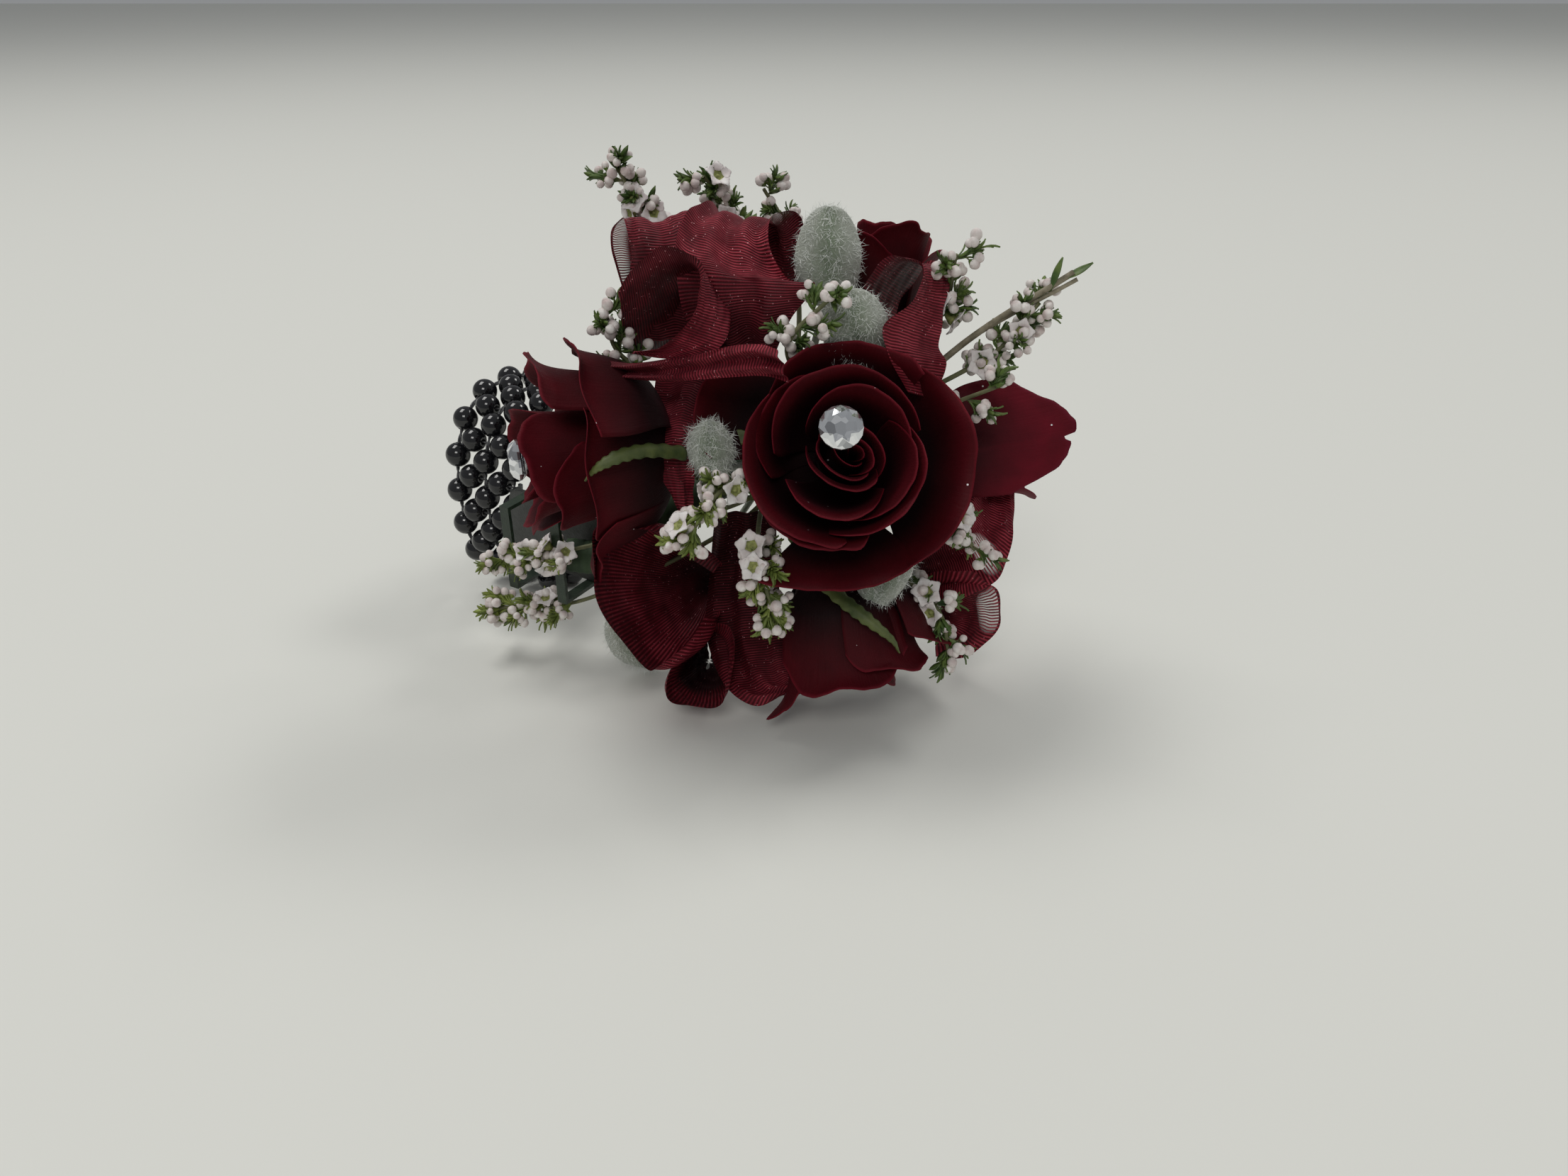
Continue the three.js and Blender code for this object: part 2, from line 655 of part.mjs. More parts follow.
// Calyx: a green cup under the petals, five sepals that hang back, and the wired stem
const sepalCount = 5;
const sepalFootShare = 0.21;
const sepalLengthShare = 0.62;
const sepalOutShare = 0.55;
const sepalCurlShare = 0.1;
const sepalStartShare = 0.06;
const sepalDropShare = 0.7;
const calyxDepthShare = 0.2;
const calyxProfileShares = [[0.55, -1], [1.15, -0.5]];
const calyxRimFlare = 1.3;

function sepal(rose, k, grow) {
  const turn = (k / sepalCount) * 2 * Math.PI + rose.turn;
  const radius = sepalFootShare * rose.size;
  const length = sepalLengthShare * rose.height;
  return sheet((u, v) => {
    const width = sepalWidth * Math.sin(Math.PI * (0.12 + 0.86 * v)) ** 0.8;
    const out = radius + length * (sepalOutShare * v - sepalCurlShare * v * v);
    const drop = -sepalStartShare * rose.height - length * sepalDropShare * v * v;
    const side = (u - 0.5) * width;
    return vec(out, side, drop).applyAxisAngle(upAxis, turn);
  }, 1, 3, sepalThickness, grow);
}

function calyx(rose, frame, grow) {
  const radius = collarShare * rose.size + grow;
  const depth = calyxDepthShare * rose.height;
  const [[footFlare, foot], [bellyFlare, belly]] = calyxProfileShares;
  const cup = turned([[0, foot * depth - grow], [radius * footFlare, foot * depth - grow],
    [radius * bellyFlare, belly * depth], [radius * calyxRimFlare, grow], [0, grow]]);
  const local = [cup];
  for (let k = 0; k < sepalCount; k++) local.push(sepal(rose, k, grow));
  const toRose = frame.clone().invert();
  const start = vec(0, 0, -depth / 2);
  const end = hub.clone().applyMatrix4(toRose);
  const knee = vec(0, 0, -depth * 1.5);
  const stem = tube([start, knee, end], stemRadius + grow, 6, 4);
  return join([...local, stem]);
}

for (const rose of roses) {
  rose.frame = frameFacing(at(rose.placeShare), vec(...rose.aim), rose.turn);
}

// Rhinestone pins: a cut stone, its cup and its shank in one, pushed into a rose's heart
function pin(grow) {
  const girdle = gemSize / 2 + grow;
  const table = gemTable / 2 + grow;
  const low = -gemHeight / 2 - grow;
  const body = turned([[0, low], [cupRadius, low], [girdle, -gemGirdle / 2],
    [girdle, gemGirdle / 2], [table, gemHeight / 2 + grow], [0, gemHeight / 2 + grow]], 10);
  return body.add(rod(vec(0, 0, low - shankLength), vec(0, 0, 0), shankRadius + grow, 6));
}

// Room that a pin needs to be drawn straight out of its rose
function pinRoom(grow) {
  return pin(grow).add(rod(vec(0, 0, 0), vec(0, 0, shankLength + gemSize), gemSize / 2 + grow, 10));
}

const pins = [
  { name: 'front_pin', headShare: [0.12, -0.38, 0.865], aim: [0.02, -0.8, 0.6] },
  { name: 'left_pin', headShare: [-0.62, -0.165, 0.7], aim: [-0.94, -0.3, 0.0] },
];
for (const { name, headShare, aim } of pins) {
  place(name, gemClear, frameFacing(at(headShare), vec(...aim)), pin, pinRoom);
}
for (const rose of roses) {
  place(`${rose.name}_calyx`, calyxGreen, rose.frame, (grow) => calyx(rose, rose.frame, grow));
}
for (const rose of roses) {
  place(`${rose.name}_heart`, petalRed, rose.frame, (grow) => heart(rose, grow));
}
for (const rose of roses) {
  place(`${rose.name}_guard_petals`, rose.bright ? petalBright : petalRed, rose.frame,
    (grow) => guard(rose, grow));
}

// Ribbon: loops and tails of one ribbon, gathered across its width and pinched at the hub
const ribbons = [
  {
    name: 'ribbon_coil', gatherShare: 0.52,
    routeShare: [[-0.2, -0.04, 0.88], [-0.31, -0.1, 0.96], [-0.355, -0.12, 1.07], [-0.25, -0.13, 1.17],
      [-0.14, -0.13, 1.09], [-0.13, -0.14, 0.98], [-0.24, -0.16, 0.935]],
    across: [[0.3, -0.9, 0.2], [0.3, -0.9, 0.2]],
  },
  {
    name: 'ribbon_tail', gatherShare: 0.38,
    routeShare: [[-0.12, -0.03, 0.88], [-0.33, -0.18, 0.97], [-0.26, -0.27, 0.965], [-0.12, -0.29, 0.965],
      [0, -0.3, 0.95]],
    across: [[0, -0.7, 0.7], [0, -0.7, 0.7]],
  },
  {
    name: 'ribbon_loop_top', gatherShare: 0.68,
    routeShare: [[-0.06, 0.16, 0.74], [-0.1, 0.3, 0.98], [-0.12, 0.2, 1.19], [-0.11, 0.06, 1.2],
      [-0.09, -0.04, 1.08], [-0.07, -0.02, 0.9]],
    across: [[1, 0, 0], [1, 0.1, 0]],
  },
  {
    name: 'ribbon_loop_top_left', gatherShare: 0.52,
    routeShare: [[-0.1, 0.14, 0.74], [-0.27, 0.26, 0.94], [-0.32, 0.2, 1.12], [-0.31, 0.08, 1.16],
      [-0.29, 0.01, 1.02], [-0.14, 0.03, 0.84]],
    across: [[1, 0.1, 0], [0.95, -0.2, 0]],
  },
  {
    name: 'ribbon_loop_top_right', gatherShare: 0.52,
    routeShare: [[0.1, 0.04, 0.78], [0.2, -0.03, 0.94], [0.2, -0.06, 1.07], [0.28, -0.07, 1.14],
      [0.355, -0.06, 1.06], [0.33, -0.06, 0.94], [0.27, -0.08, 0.82]],
    across: [[0.3, -0.9, 0.3], [0.3, -0.9, 0.3]],
  },
  {
    name: 'ribbon_loop_left', gatherShare: 1,
    routeShare: [[-0.1, -0.04, 0.42], [-0.24, -0.01, 0.38], [-0.39, -0.02, 0.33], [-0.43, -0.1, 0.31],
      [-0.37, -0.2, 0.29], [-0.24, -0.24, 0.28], [-0.14, -0.18, 0.32]],
    across: [[0.1, 0.1, 1], [0.05, -0.2, 1]],
  },
  {
    name: 'ribbon_strip', gatherShare: 0.32,
    routeShare: [[-0.31, -0.1, 0.8], [-0.25, -0.16, 0.66], [-0.2, -0.14, 0.5]],
    across: [[1, 0.1, 0.3], [1, 0.1, 0.3]],
  },
  {
    name: 'ribbon_loop_bottom', gatherShare: 0.46,
    routeShare: [[-0.1, -0.02, 0.36], [-0.26, -0.2, 0.18], [-0.29, -0.24, 0.07], [-0.21, -0.25, 0.0],
      [-0.14, -0.24, 0.08], [-0.15, -0.2, 0.2], [-0.06, -0.03, 0.33]],
    across: [[0.1, -0.9, 0.35], [0.1, -0.9, 0.35]],
  },
  {
    name: 'ribbon_fold', gatherShare: 0.42,
    routeShare: [[-0.03, -0.03, 0.4], [-0.11, -0.2, 0.22], [-0.08, -0.24, 0.07], [-0.01, -0.23, 0.1],
      [-0.01, -0.17, 0.24]],
    across: [[0.5, -0.8, 0.3], [0.5, -0.8, 0.3]],
  },
  {
    name: 'ribbon_loop_right', gatherShare: 0.62,
    routeShare: [[0.14, 0.07, 0.5], [0.4, 0.06, 0.5], [0.54, 0.04, 0.5], [0.57, -0.02, 0.43],
      [0.48, -0.06, 0.38], [0.16, 0.02, 0.44]],
    across: [[0.1, 0.2, 1], [-0.2, -0.4, 0.9]],
  },
  {
    name: 'ribbon_loop_right_low', gatherShare: 0.62,
    routeShare: [[0.1, 0.08, 0.44], [0.42, 0.04, 0.24], [0.53, -0.01, 0.18], [0.51, -0.05, 0.13],
      [0.42, -0.07, 0.14], [0.08, 0.03, 0.38]],
    across: [[0.1, 0.3, 1], [0.2, -0.4, 0.9]],
  },
  {
    name: 'ribbon_loop_rear', gatherShare: 0.52,
    routeShare: [[-0.02, 0.16, 0.62], [-0.16, 0.36, 0.82], [-0.15, 0.47, 0.7], [-0.06, 0.4, 0.52],
      [-0.01, 0.2, 0.56]],
    across: [[1, 0.2, 0], [1, 0.2, 0]],
  },
];

function ribbon(spec, grow) {
  const path = new THREE.CatmullRomCurve3(spec.routeShare.map(at));
  const along = 9;
  const first = vec(...spec.across[0]).normalize();
  const last = vec(...spec.across[1]).normalize();
  return sheet((u, v) => {
    const pinch = 0.35 + 0.65 * Math.min(1, Math.sin(Math.PI * v) * 1.6);
    const reach = ribbonWidth * spec.gatherShare * pinch * (u - 0.5);
    const bow = ribbonBow * Math.sin(Math.PI * v) * (1 - (2 * u - 1) ** 2);
    const direction = first.clone().lerp(last, v).normalize();
    const tangent = path.getTangent(v);
    return path.getPoint(v).addScaledVector(direction, reach)
      .addScaledVector(tangent.cross(direction).normalize(), bow);
  }, 2, along, ribbonThickness, grow);
}
for (const spec of ribbons) {
  place(spec.name, ribbonRed, world, (grow) => ribbon(spec, grow));
}

// Soft grey leaves: thick, rounded and a little folded along the midrib
const leaves = [
  {
    name: 'leaf_top', placeShare: [0.1, -0.01, 1.13],
    length: 20, width: 14, along: [0.02, 0.15, 1],
  },
  {
    name: 'leaf_middle', placeShare: [0.16, -0.14, 1.0],
    length: 17, width: 15, along: [0.2, -0.1, 1],
  },
  {
    name: 'leaf_left', placeShare: [-0.17, -0.18, 0.73],
    length: 14, width: 11, along: [0, -0.1, 1],
  },
  {
    name: 'leaf_low_left', placeShare: [-0.41, -0.03, 0.11],
    length: 22, width: 12, along: [-0.45, -0.2, 0.9],
  },
  {
    name: 'leaf_low_right', placeShare: [0.24, -0.25, 0.43],
    length: 26, width: 10, along: [0.5, 0, 0.85],
  },
];

function leaf(spec, frame, grow) {
  const geometry = new THREE.SphereGeometry(0.5, 8, 6);
  geometry.scale(spec.width + 2 * grow, spec.length + 2 * grow, leafThickness + 2 * grow);
  geometry.applyMatrix4(turnToUp);
  const end = hub.clone().applyMatrix4(frame.clone().invert());
  const start = vec(0, 0, -spec.length / 2 + leafThickness);
  return toSolid(geometry).add(rod(start, end, petioleRadius + grow, 5));
}
for (const spec of leaves) {
  const frame = frameFacing(at(spec.placeShare), vec(...spec.along));
  place(spec.name, leafGrey, frame, (grow) => leaf(spec, frame, grow));
}

// Sprigs: a thin stem with round buds, needle leaves and an open bell at the tip
const sprigs = [
  {
    name: 'sprig_top_left', buds: 4,
    routeShare: [[-0.16, 0.34, 0.86], [-0.33, 0.36, 1.12], [-0.41, 0.31, 1.27]],
  },
  {
    name: 'sprig_top', buds: 4,
    routeShare: [[-0.06, 0.36, 0.92], [-0.14, 0.38, 1.16], [-0.2, 0.32, 1.25]],
  },
  {
    name: 'sprig_top_right', buds: 3,
    routeShare: [[0.04, 0.32, 0.9], [0, 0.36, 1.12], [-0.05, 0.32, 1.22]],
  },
  {
    name: 'sprig_left_upper', buds: 4,
    routeShare: [[-0.2, 0.02, 0.78], [-0.38, -0.02, 0.9], [-0.41, -0.05, 1.02]],
  },
  {
    name: 'sprig_middle', buds: 4,
    routeShare: [[0.03, 0, 0.82], [0.01, -0.16, 0.98], [0.11, -0.2, 1.1]],
  },
  {
    name: 'sprig_right_upper', buds: 4,
    routeShare: [[0.16, 0.06, 0.76], [0.36, 0.02, 0.98], [0.39, -0.02, 1.14]],
  },
  {
    name: 'sprig_right', buds: 4,
    routeShare: [[0.18, 0.02, 0.72], [0.48, -0.02, 0.9], [0.59, -0.02, 1.03]],
  },
  {
    name: 'sprig_right_middle', buds: 4,
    routeShare: [[0.14, 0, 0.64], [0.31, -0.18, 0.77], [0.47, -0.18, 0.88]],
  },
  {
    name: 'sprig_right_low', buds: 4,
    routeShare: [[0.14, 0, 0.55], [0.32, -0.22, 0.62], [0.46, -0.19, 0.48]],
  },
  {
    name: 'sprig_front_left', buds: 4,
    routeShare: [[-0.06, -0.02, 0.62], [-0.14, -0.34, 0.7], [-0.22, -0.4, 0.6]],
  },
  {
    name: 'sprig_front_low', buds: 4,
    routeShare: [[-0.05, 0, 0.53], [-0.06, -0.3, 0.52], [-0.02, -0.35, 0.38]],
  },
  {
    name: 'sprig_low_left_upper', buds: 4,
    routeShare: [[-0.1, 0.04, 0.5], [-0.5, 0.02, 0.38], [-0.76, 0.05, 0.32]],
  },
  {
    name: 'sprig_low_left', buds: 4,
    routeShare: [[-0.1, 0.06, 0.44], [-0.52, 0.06, 0.2], [-0.8, 0.1, 0.14]],
  },
  {
    name: 'sprig_low_right', buds: 4,
    routeShare: [[0.1, 0.02, 0.46], [0.36, -0.2, 0.34], [0.41, -0.25, 0.22]],
  },
];
const twig = {
  name: 'cut_twig', buds: 0,
  routeShare: [[0.2, 0.06, 0.7], [0.44, 0, 0.94], [0.66, -0.02, 1.1]],
};
const goldenTurn = 2.4;
const budSpanShare = 0.36; // part of a sprig's length that carries buds

// One body from the hub to the tip: the stem, then buds that swell to alternate sides,
// then the open bell with its flat mouth
function sprig(spec, grow) {
  const path = new THREE.CatmullRomCurve3([hub.clone(), ...spec.routeShare.map(at)]);
  const station = (share, radius, turn = 0, offset = 0, ahead = 0) => {
    const axis = path.getTangentAt(share);
    const swing = vec(1, 0, 0).cross(axis).normalize();
    const out = swing.clone().applyAxisAngle(axis, turn);
    const point = path.getPointAt(share).addScaledVector(out, offset).addScaledVector(axis, ahead);
    return { point, axis, swing, radius };
  };
  const stations = [0, 0.25, 0.5].map((share) => station(share, twigRadius));
  const budRadius = budSize / 2;
  for (let k = 0; k < spec.buds; k++) {
    const share = 1 - budSpanShare * (1 - k / spec.buds);
    const turn = k * goldenTurn;
    stations.push(station(share, twigRadius, 0, 0, -budRadius - grow));
    stations.push(station(share, budRadius, turn, budRadius * 0.7, -budRadius / 2));
    stations.push(station(share, budRadius, turn, budRadius * 0.7, budRadius / 2));
  }
  stations.push(station(1, twigRadius, 0, 0, -grow));
  if (spec.buds > 0) stations.push(station(1, bellSize / 2, 0, 0, bellDepth + grow));
  return strand(stations, grow, 4);
}
for (const spec of [twig, ...sprigs]) {
  place(spec.name, sprigGreen, world, (grow) => sprig(spec, grow));
}

// The origin is the middle of the footprint, on the table
const bounds = new THREE.Box3().setFromObject(corsage, true);
const middle = bounds.getCenter(vec(0, 0, 0));
corsage.position.set(-middle.x, -middle.y, -bounds.min.z);
const part = new THREE.Group();
part.add(corsage);

export default part;
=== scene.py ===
"""Wrist corsage: roses, sheer ribbon loops, soft leaves and small white bell flowers on a bead band.

Every piece is worked out with numpy in millimetres, in a working frame whose origin lies under the
bundle of stems, and is then moved by ORIGIN into the frame of the solids and scaled to metres.
"""
import math

import bpy
import numpy as np
from mathutils import Matrix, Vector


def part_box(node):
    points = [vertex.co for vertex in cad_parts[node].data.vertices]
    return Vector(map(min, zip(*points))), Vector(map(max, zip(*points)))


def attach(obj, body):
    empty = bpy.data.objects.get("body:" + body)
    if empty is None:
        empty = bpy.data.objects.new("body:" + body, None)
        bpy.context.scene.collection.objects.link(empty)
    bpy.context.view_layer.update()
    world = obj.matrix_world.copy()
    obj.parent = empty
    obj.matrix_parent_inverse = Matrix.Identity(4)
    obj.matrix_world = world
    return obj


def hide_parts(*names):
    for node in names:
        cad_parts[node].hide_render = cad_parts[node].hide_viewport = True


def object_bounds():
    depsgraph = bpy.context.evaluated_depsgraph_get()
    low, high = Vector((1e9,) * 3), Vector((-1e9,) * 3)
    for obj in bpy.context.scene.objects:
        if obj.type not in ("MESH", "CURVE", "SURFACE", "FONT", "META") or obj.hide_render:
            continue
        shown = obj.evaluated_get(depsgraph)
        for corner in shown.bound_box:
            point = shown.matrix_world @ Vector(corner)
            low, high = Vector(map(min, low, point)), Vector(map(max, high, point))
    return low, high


bl_info = {
    "name": "Wrist corsage",
    "version": (1, 0, 0),
    "blender": (4, 5, 0),
    "location": "View3D > Sidebar > Corsage",
    "description": "Builds the visible pieces of a wrist corsage over its solids",
    "category": "Object",
}

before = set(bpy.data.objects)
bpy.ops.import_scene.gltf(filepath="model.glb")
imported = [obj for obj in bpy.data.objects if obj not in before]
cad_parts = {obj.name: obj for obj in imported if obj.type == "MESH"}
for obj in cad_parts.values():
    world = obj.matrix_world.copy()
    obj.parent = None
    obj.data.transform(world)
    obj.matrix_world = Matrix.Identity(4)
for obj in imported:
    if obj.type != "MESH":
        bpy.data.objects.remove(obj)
CAD_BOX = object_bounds()
MM = 0.001
ORIGIN = np.array([CAD_BOX[0][0] / MM + 98.011, -19.968, 0.0])
UP = np.array([0.0, 0.0, 1.0])
HUB = np.array([0.0, 11.0, 60.0])
SEED = 20261
TAPE_LAPS = 16
KNOB_RADIUS = 7.8
SEPAL_TURN = 0.4
HAIRS = 2600


# Small vector helpers on whole arrays

def unit(a):
    """Each vector divided by its length."""
    a = np.asarray(a, float)
    return a / np.maximum(np.linalg.norm(a, axis=-1, keepdims=True), 1e-9)


def turned(x, y, angle):
    """Plane coordinates turned by an angle."""
    c, s = np.cos(angle), np.sin(angle)
    return x * c - y * s, y * c + x * s


def walked(path):
    """Distance walked along a path at each of its points."""
    return np.concatenate([[0], np.cumsum(np.linalg.norm(np.diff(path, axis=0), axis=1))])


def facing(aim):
    """A turn, as columns x, y and z: z along aim, y as near to straight up as it can be."""
    z = unit(aim)
    guide = UP if abs(z[2]) < 0.97 else np.array([0.0, -1.0, 0.0])
    y = unit(guide - z * (guide @ z))
    return np.stack([np.cross(y, z), y, z], axis=1)


def spline(points, t):
    """A Catmull-Rom curve through the points at t from 0 to 1: a cubic between each two points whose
    slopes come from their neighbours."""
    p = np.asarray(points, float)
    p = np.concatenate([[2 * p[0] - p[1]], p, [2 * p[-1] - p[-2]]])
    spans = len(p) - 3
    s = np.clip(np.asarray(t, float), 0, 1) * spans
    k = np.minimum(s.astype(int), spans - 1)
    f = (s - k)[..., None]
    a, b, c, d = p[k], p[k + 1], p[k + 2], p[k + 3]
    return 0.5 * (2 * b + (c - a) * f + (2 * a - 5 * b + 4 * c - d) * f ** 2
                  + (3 * b - a - 3 * c + d) * f ** 3)


def bezier(a, b, c, d, t):
    """A cubic Bezier curve: the four control values weighted by the cubic terms in t."""
    s = 1 - t
    return a * s ** 3 + 3 * b * s ** 2 * t + 3 * c * s * t ** 2 + d * t ** 3


def grid(across, along):
    """Two arrays, u across and v along, both from 0 to 1."""
    return np.meshgrid(np.linspace(0, 1, across), np.linspace(0, 1, along), indexing="ij")


def new_object(name, data):
    """An object with the given data, linked to the scene."""
    item = bpy.data.objects.new(name, data)
    bpy.context.scene.collection.objects.link(item)
    return item


class Form:
    """The surface of one piece, gathered patch by patch before it becomes a mesh."""

    def __init__(self):
        self.points, self.faces, self.coords, self.slots = [], [], [], []
        self.count = 0

    def add(self, points, faces, coords=None, slot=0):
        """Adds vertices, faces of one size and a texture coordinate for each vertex."""
        points = np.asarray(points, float).reshape(-1, 3)
        coords = np.zeros((len(points), 2)) if coords is None else np.asarray(coords).reshape(-1, 2)
        self.points.append(points)
        self.faces.append(np.asarray(faces, int) + self.count)
        self.coords.append(coords)
        self.slots.append(slot)
        self.count += len(points)

    def build(self, name, materials, flat=False):
        """Puts everything gathered into one mesh object, in metres and in the solids' frame."""
        points = (np.concatenate(self.points) + ORIGIN) * MM
        coords = np.concatenate(self.coords)
        loops = np.concatenate([f.ravel() for f in self.faces])
        sizes = np.concatenate([np.full(len(f), f.shape[1]) for f in self.faces])
        slots = np.concatenate([np.full(len(f), s) for f, s in zip(self.faces, self.slots)])
        mesh = bpy.data.meshes.new(name)
        mesh.vertices.add(len(points))
        mesh.vertices.foreach_set("co", points.ravel())
        mesh.loops.add(len(loops))
        mesh.loops.foreach_set("vertex_index", loops)
        mesh.polygons.add(len(sizes))
        mesh.polygons.foreach_set("loop_start", np.concatenate([[0], np.cumsum(sizes)[:-1]]))
        mesh.polygons.foreach_set("loop_total", sizes)
        mesh.polygons.foreach_set("material_index", slots)
        mesh.update(calc_edges=True)
        layer = mesh.uv_layers.new(name="UVMap")
        layer.data.foreach_set("uv", coords[loops].ravel())
        mesh.polygons.foreach_set("use_smooth", np.full(len(sizes), not flat))
        for item in materials:
            mesh.materials.append(item)
        return new_object(name, mesh)


def cells(rows, columns, wrap=False):
    """Quads of a grid whose vertex (i, j) is number i * columns + j. With wrap, the last row meets the
    first."""
    last = rows if wrap else rows - 1
    i, j = np.meshgrid(np.arange(last), np.arange(columns - 1), indexing="ij")
    i, j = i.ravel(), j.ravel()
    n = (i + 1) % rows
    return np.stack([i * columns + j, n * columns + j, n * columns + j + 1, i * columns + j + 1], axis=1)


def normals(surface):
    """Unit normals of a grid of points: the cross product of its two difference directions."""
    return unit(np.cross(np.gradient(surface, axis=0), np.gradient(surface, axis=1)))


def shell(form, surface, thickness, coords, slot=0):
    """A thin closed sheet: the grid pushed half its thickness each way along its normals, with its
    four edges closed by strips."""
    rows, columns = surface.shape[:2]
    half = np.broadcast_to(np.asarray(thickness) / 2, surface.shape[:2])[..., None]
    push = normals(surface) * half
    both = np.concatenate([(surface + push).reshape(-1, 3), (surface - push).reshape(-1, 3)])
    size = rows * columns
    top = cells(rows, columns)
    index = np.arange(size).reshape(rows, columns)
    ring = np.concatenate([index[:, 0], index[-1, 1:], index[-2::-1, -1], index[0, -2:0:-1]])
    after = np.roll(ring, -1)
    strip = np.stack([ring, ring + size, after + size, after], axis=1)
    form.add(both, np.concatenate([top, top[:, ::-1] + size, strip]),
             np.concatenate([coords.reshape(-1, 2)] * 2), slot)


def pipe(form, path, radius, sides=8, slot=0):
    """A round tube carried along a path of points, its radius given for each point, closed at both
    ends. The rings lie across the path's direction."""
    path = np.asarray(path, float)
    radius = np.broadcast_to(np.asarray(radius, float), len(path))
    tangent = unit(np.gradient(path, axis=0))
    guide = np.eye(3)[np.argmin(np.abs(tangent).max(axis=0))]
    side = unit(np.cross(tangent, guide))
    lift = np.cross(tangent, side)
    turn = np.arange(sides) / sides * 2 * np.pi
    ring = np.cos(turn)[:, None, None] * side + np.sin(turn)[:, None, None] * lift
    coords = np.stack(np.broadcast_arrays((turn / (2 * np.pi))[:, None], walked(path)[None]), axis=-1)
    first = form.count + np.arange(sides) * len(path)
    form.add(path + ring * radius[:, None], cells(sides, len(path), wrap=True)[:, ::-1], coords, slot)
    for cap in (first[::-1], first + len(path) - 1):
        form.faces.append(cap[None])
        form.slots.append(slot)


def lathe(profile, sides):
    """A turned shape round z: each (radius, height) of the profile carried round a circle. The ends
    lie on the axis. Returns points and quads."""
    profile = np.asarray(profile, float)
    turn = np.arange(sides) / sides * 2 * np.pi
    points = np.stack([np.cos(turn)[:, None] * profile[:, 0], np.sin(turn)[:, None] * profile[:, 0],
                       np.broadcast_to(profile[:, 1], (sides, len(profile)))], axis=-1)
    return points.reshape(-1, 3), cells(sides, len(profile), wrap=True)


def scatter(form, points, faces, places, turns, sizes, slot=0):
    """Copies of one small shape: each is scaled, turned and moved to its place, all in one array."""
    places = np.asarray(places, float).reshape(-1, 3)
    count = len(places)
    sizes = np.broadcast_to(np.asarray(sizes, float), count)
    moved = np.einsum("kij,nj->kni", turns, points) * sizes[:, None, None] + places[:, None]
    steps = (np.arange(count) * len(points))[:, None, None]
    form.add(moved.reshape(-1, 3), (faces[None] + steps).reshape(-1, faces.shape[1]), slot=slot)


def turns_to(directions, spins):
    """A turn for each direction: its z lies along the direction and it spins about it."""
    z = unit(directions)
    guide = np.where(np.abs(z[:, 2:]) < 0.9, UP, np.array([1.0, 0.0, 0.0]))
    x = unit(np.cross(guide, z))
    y = np.cross(z, x)
    return np.stack([*turned(x, y, -spins[:, None]), z], axis=2)


# Material helpers

def node_of(tree, kind, place=(0, 0), **values):
    """Adds a node and sets its properties."""
    node = tree.nodes.new(kind)
    node.location = place
    for key, value in values.items():
        setattr(node, key, value)
    return node


def wire(tree, source, target):
    """Links an output to an input."""
    tree.links.new(source, target)


def put(node, **values):
    """Sets inputs' own values, each named with underscores for spaces."""
    for name, value in values.items():
        node.inputs[name.replace("_", " ")].default_value = value


def maths(tree, place, operation, *values):
    """A math node whose inputs are links or plain numbers. Returns its output."""
    node = node_of(tree, "ShaderNodeMath", place, operation=operation)
    for value, socket in zip(values, node.inputs):
        if hasattr(value, "is_output"):
            wire(tree, value, socket)
        else:
            socket.default_value = value
    return node.outputs[0]


def remap(tree, place, value, **limits):
    """A link carried from one span of values to another. Returns its output."""
    node = node_of(tree, "ShaderNodeMapRange", place)
    wire(tree, value, node.inputs["Value"])
    put(node, **limits)
    return node.outputs[0]


def scaled(tree, place, colour, factor):
    """A colour link times a number link. Returns its output."""
    node = node_of(tree, "ShaderNodeVectorMath", place, operation="SCALE")
    wire(tree, colour, node.inputs[0])
    wire(tree, factor, node.inputs["Scale"])
    return node.outputs[0]


def ramp(tree, place, factor, stops):
    """A colour ramp with the given (position, colour) stops. Returns its colour."""
    node = node_of(tree, "ShaderNodeValToRGB", place)
    bar = node.color_ramp.elements
    bar[0].position, bar[0].color = stops[0][0], (*stops[0][1], 1)
    bar[1].position, bar[1].color = stops[-1][0], (*stops[-1][1], 1)
    for position, colour in stops[1:-1]:
        bar.new(position).color = (*colour, 1)
    wire(tree, factor, node.inputs["Fac"])
    return node.outputs["Color"]


def blend_colour(tree, place, factor, first, second):
    """Mixes a colour link with a plain colour by a factor link. Returns the mix."""
    node = node_of(tree, "ShaderNodeMix", place, data_type="RGBA")
    wire(tree, factor, node.inputs["Factor"])
    wire(tree, first, node.inputs[6])
    node.inputs[7].default_value = (*second, 1)
    return node.outputs[2]


def noise(tree, place, vector, scale, detail=3.0, roughness=0.55):
    """A noise texture on the given coordinates. Returns its value."""
    node = node_of(tree, "ShaderNodeTexNoise", place)
    wire(tree, vector, node.inputs["Vector"])
    put(node, Scale=scale, Detail=detail, Roughness=roughness)
    return node.outputs["Fac"]


def bump(tree, shader, height, strength, distance):
    """Feeds a height into the shader's normal."""
    node = node_of(tree, "ShaderNodeBump", (100, -400))
    put(node, Strength=strength, Distance=distance)
    wire(tree, height, node.inputs["Height"])
    wire(tree, node.outputs["Normal"], shader.inputs["Normal"])


def coordinates(tree, kind="Object"):
    """Object or UV coordinates."""
    return node_of(tree, "ShaderNodeTexCoord", (-1200, 0)).outputs[kind]


def parts(tree, vector):
    """The X, Y and Z outputs of a vector link."""
    node = node_of(tree, "ShaderNodeSeparateXYZ", (-1000, 200))
    wire(tree, vector, node.inputs[0])
    return node.outputs


def attribute(tree, place, name):
    """The value of a mesh attribute."""
    return node_of(tree, "ShaderNodeAttribute", place, attribute_name=name).outputs["Fac"]


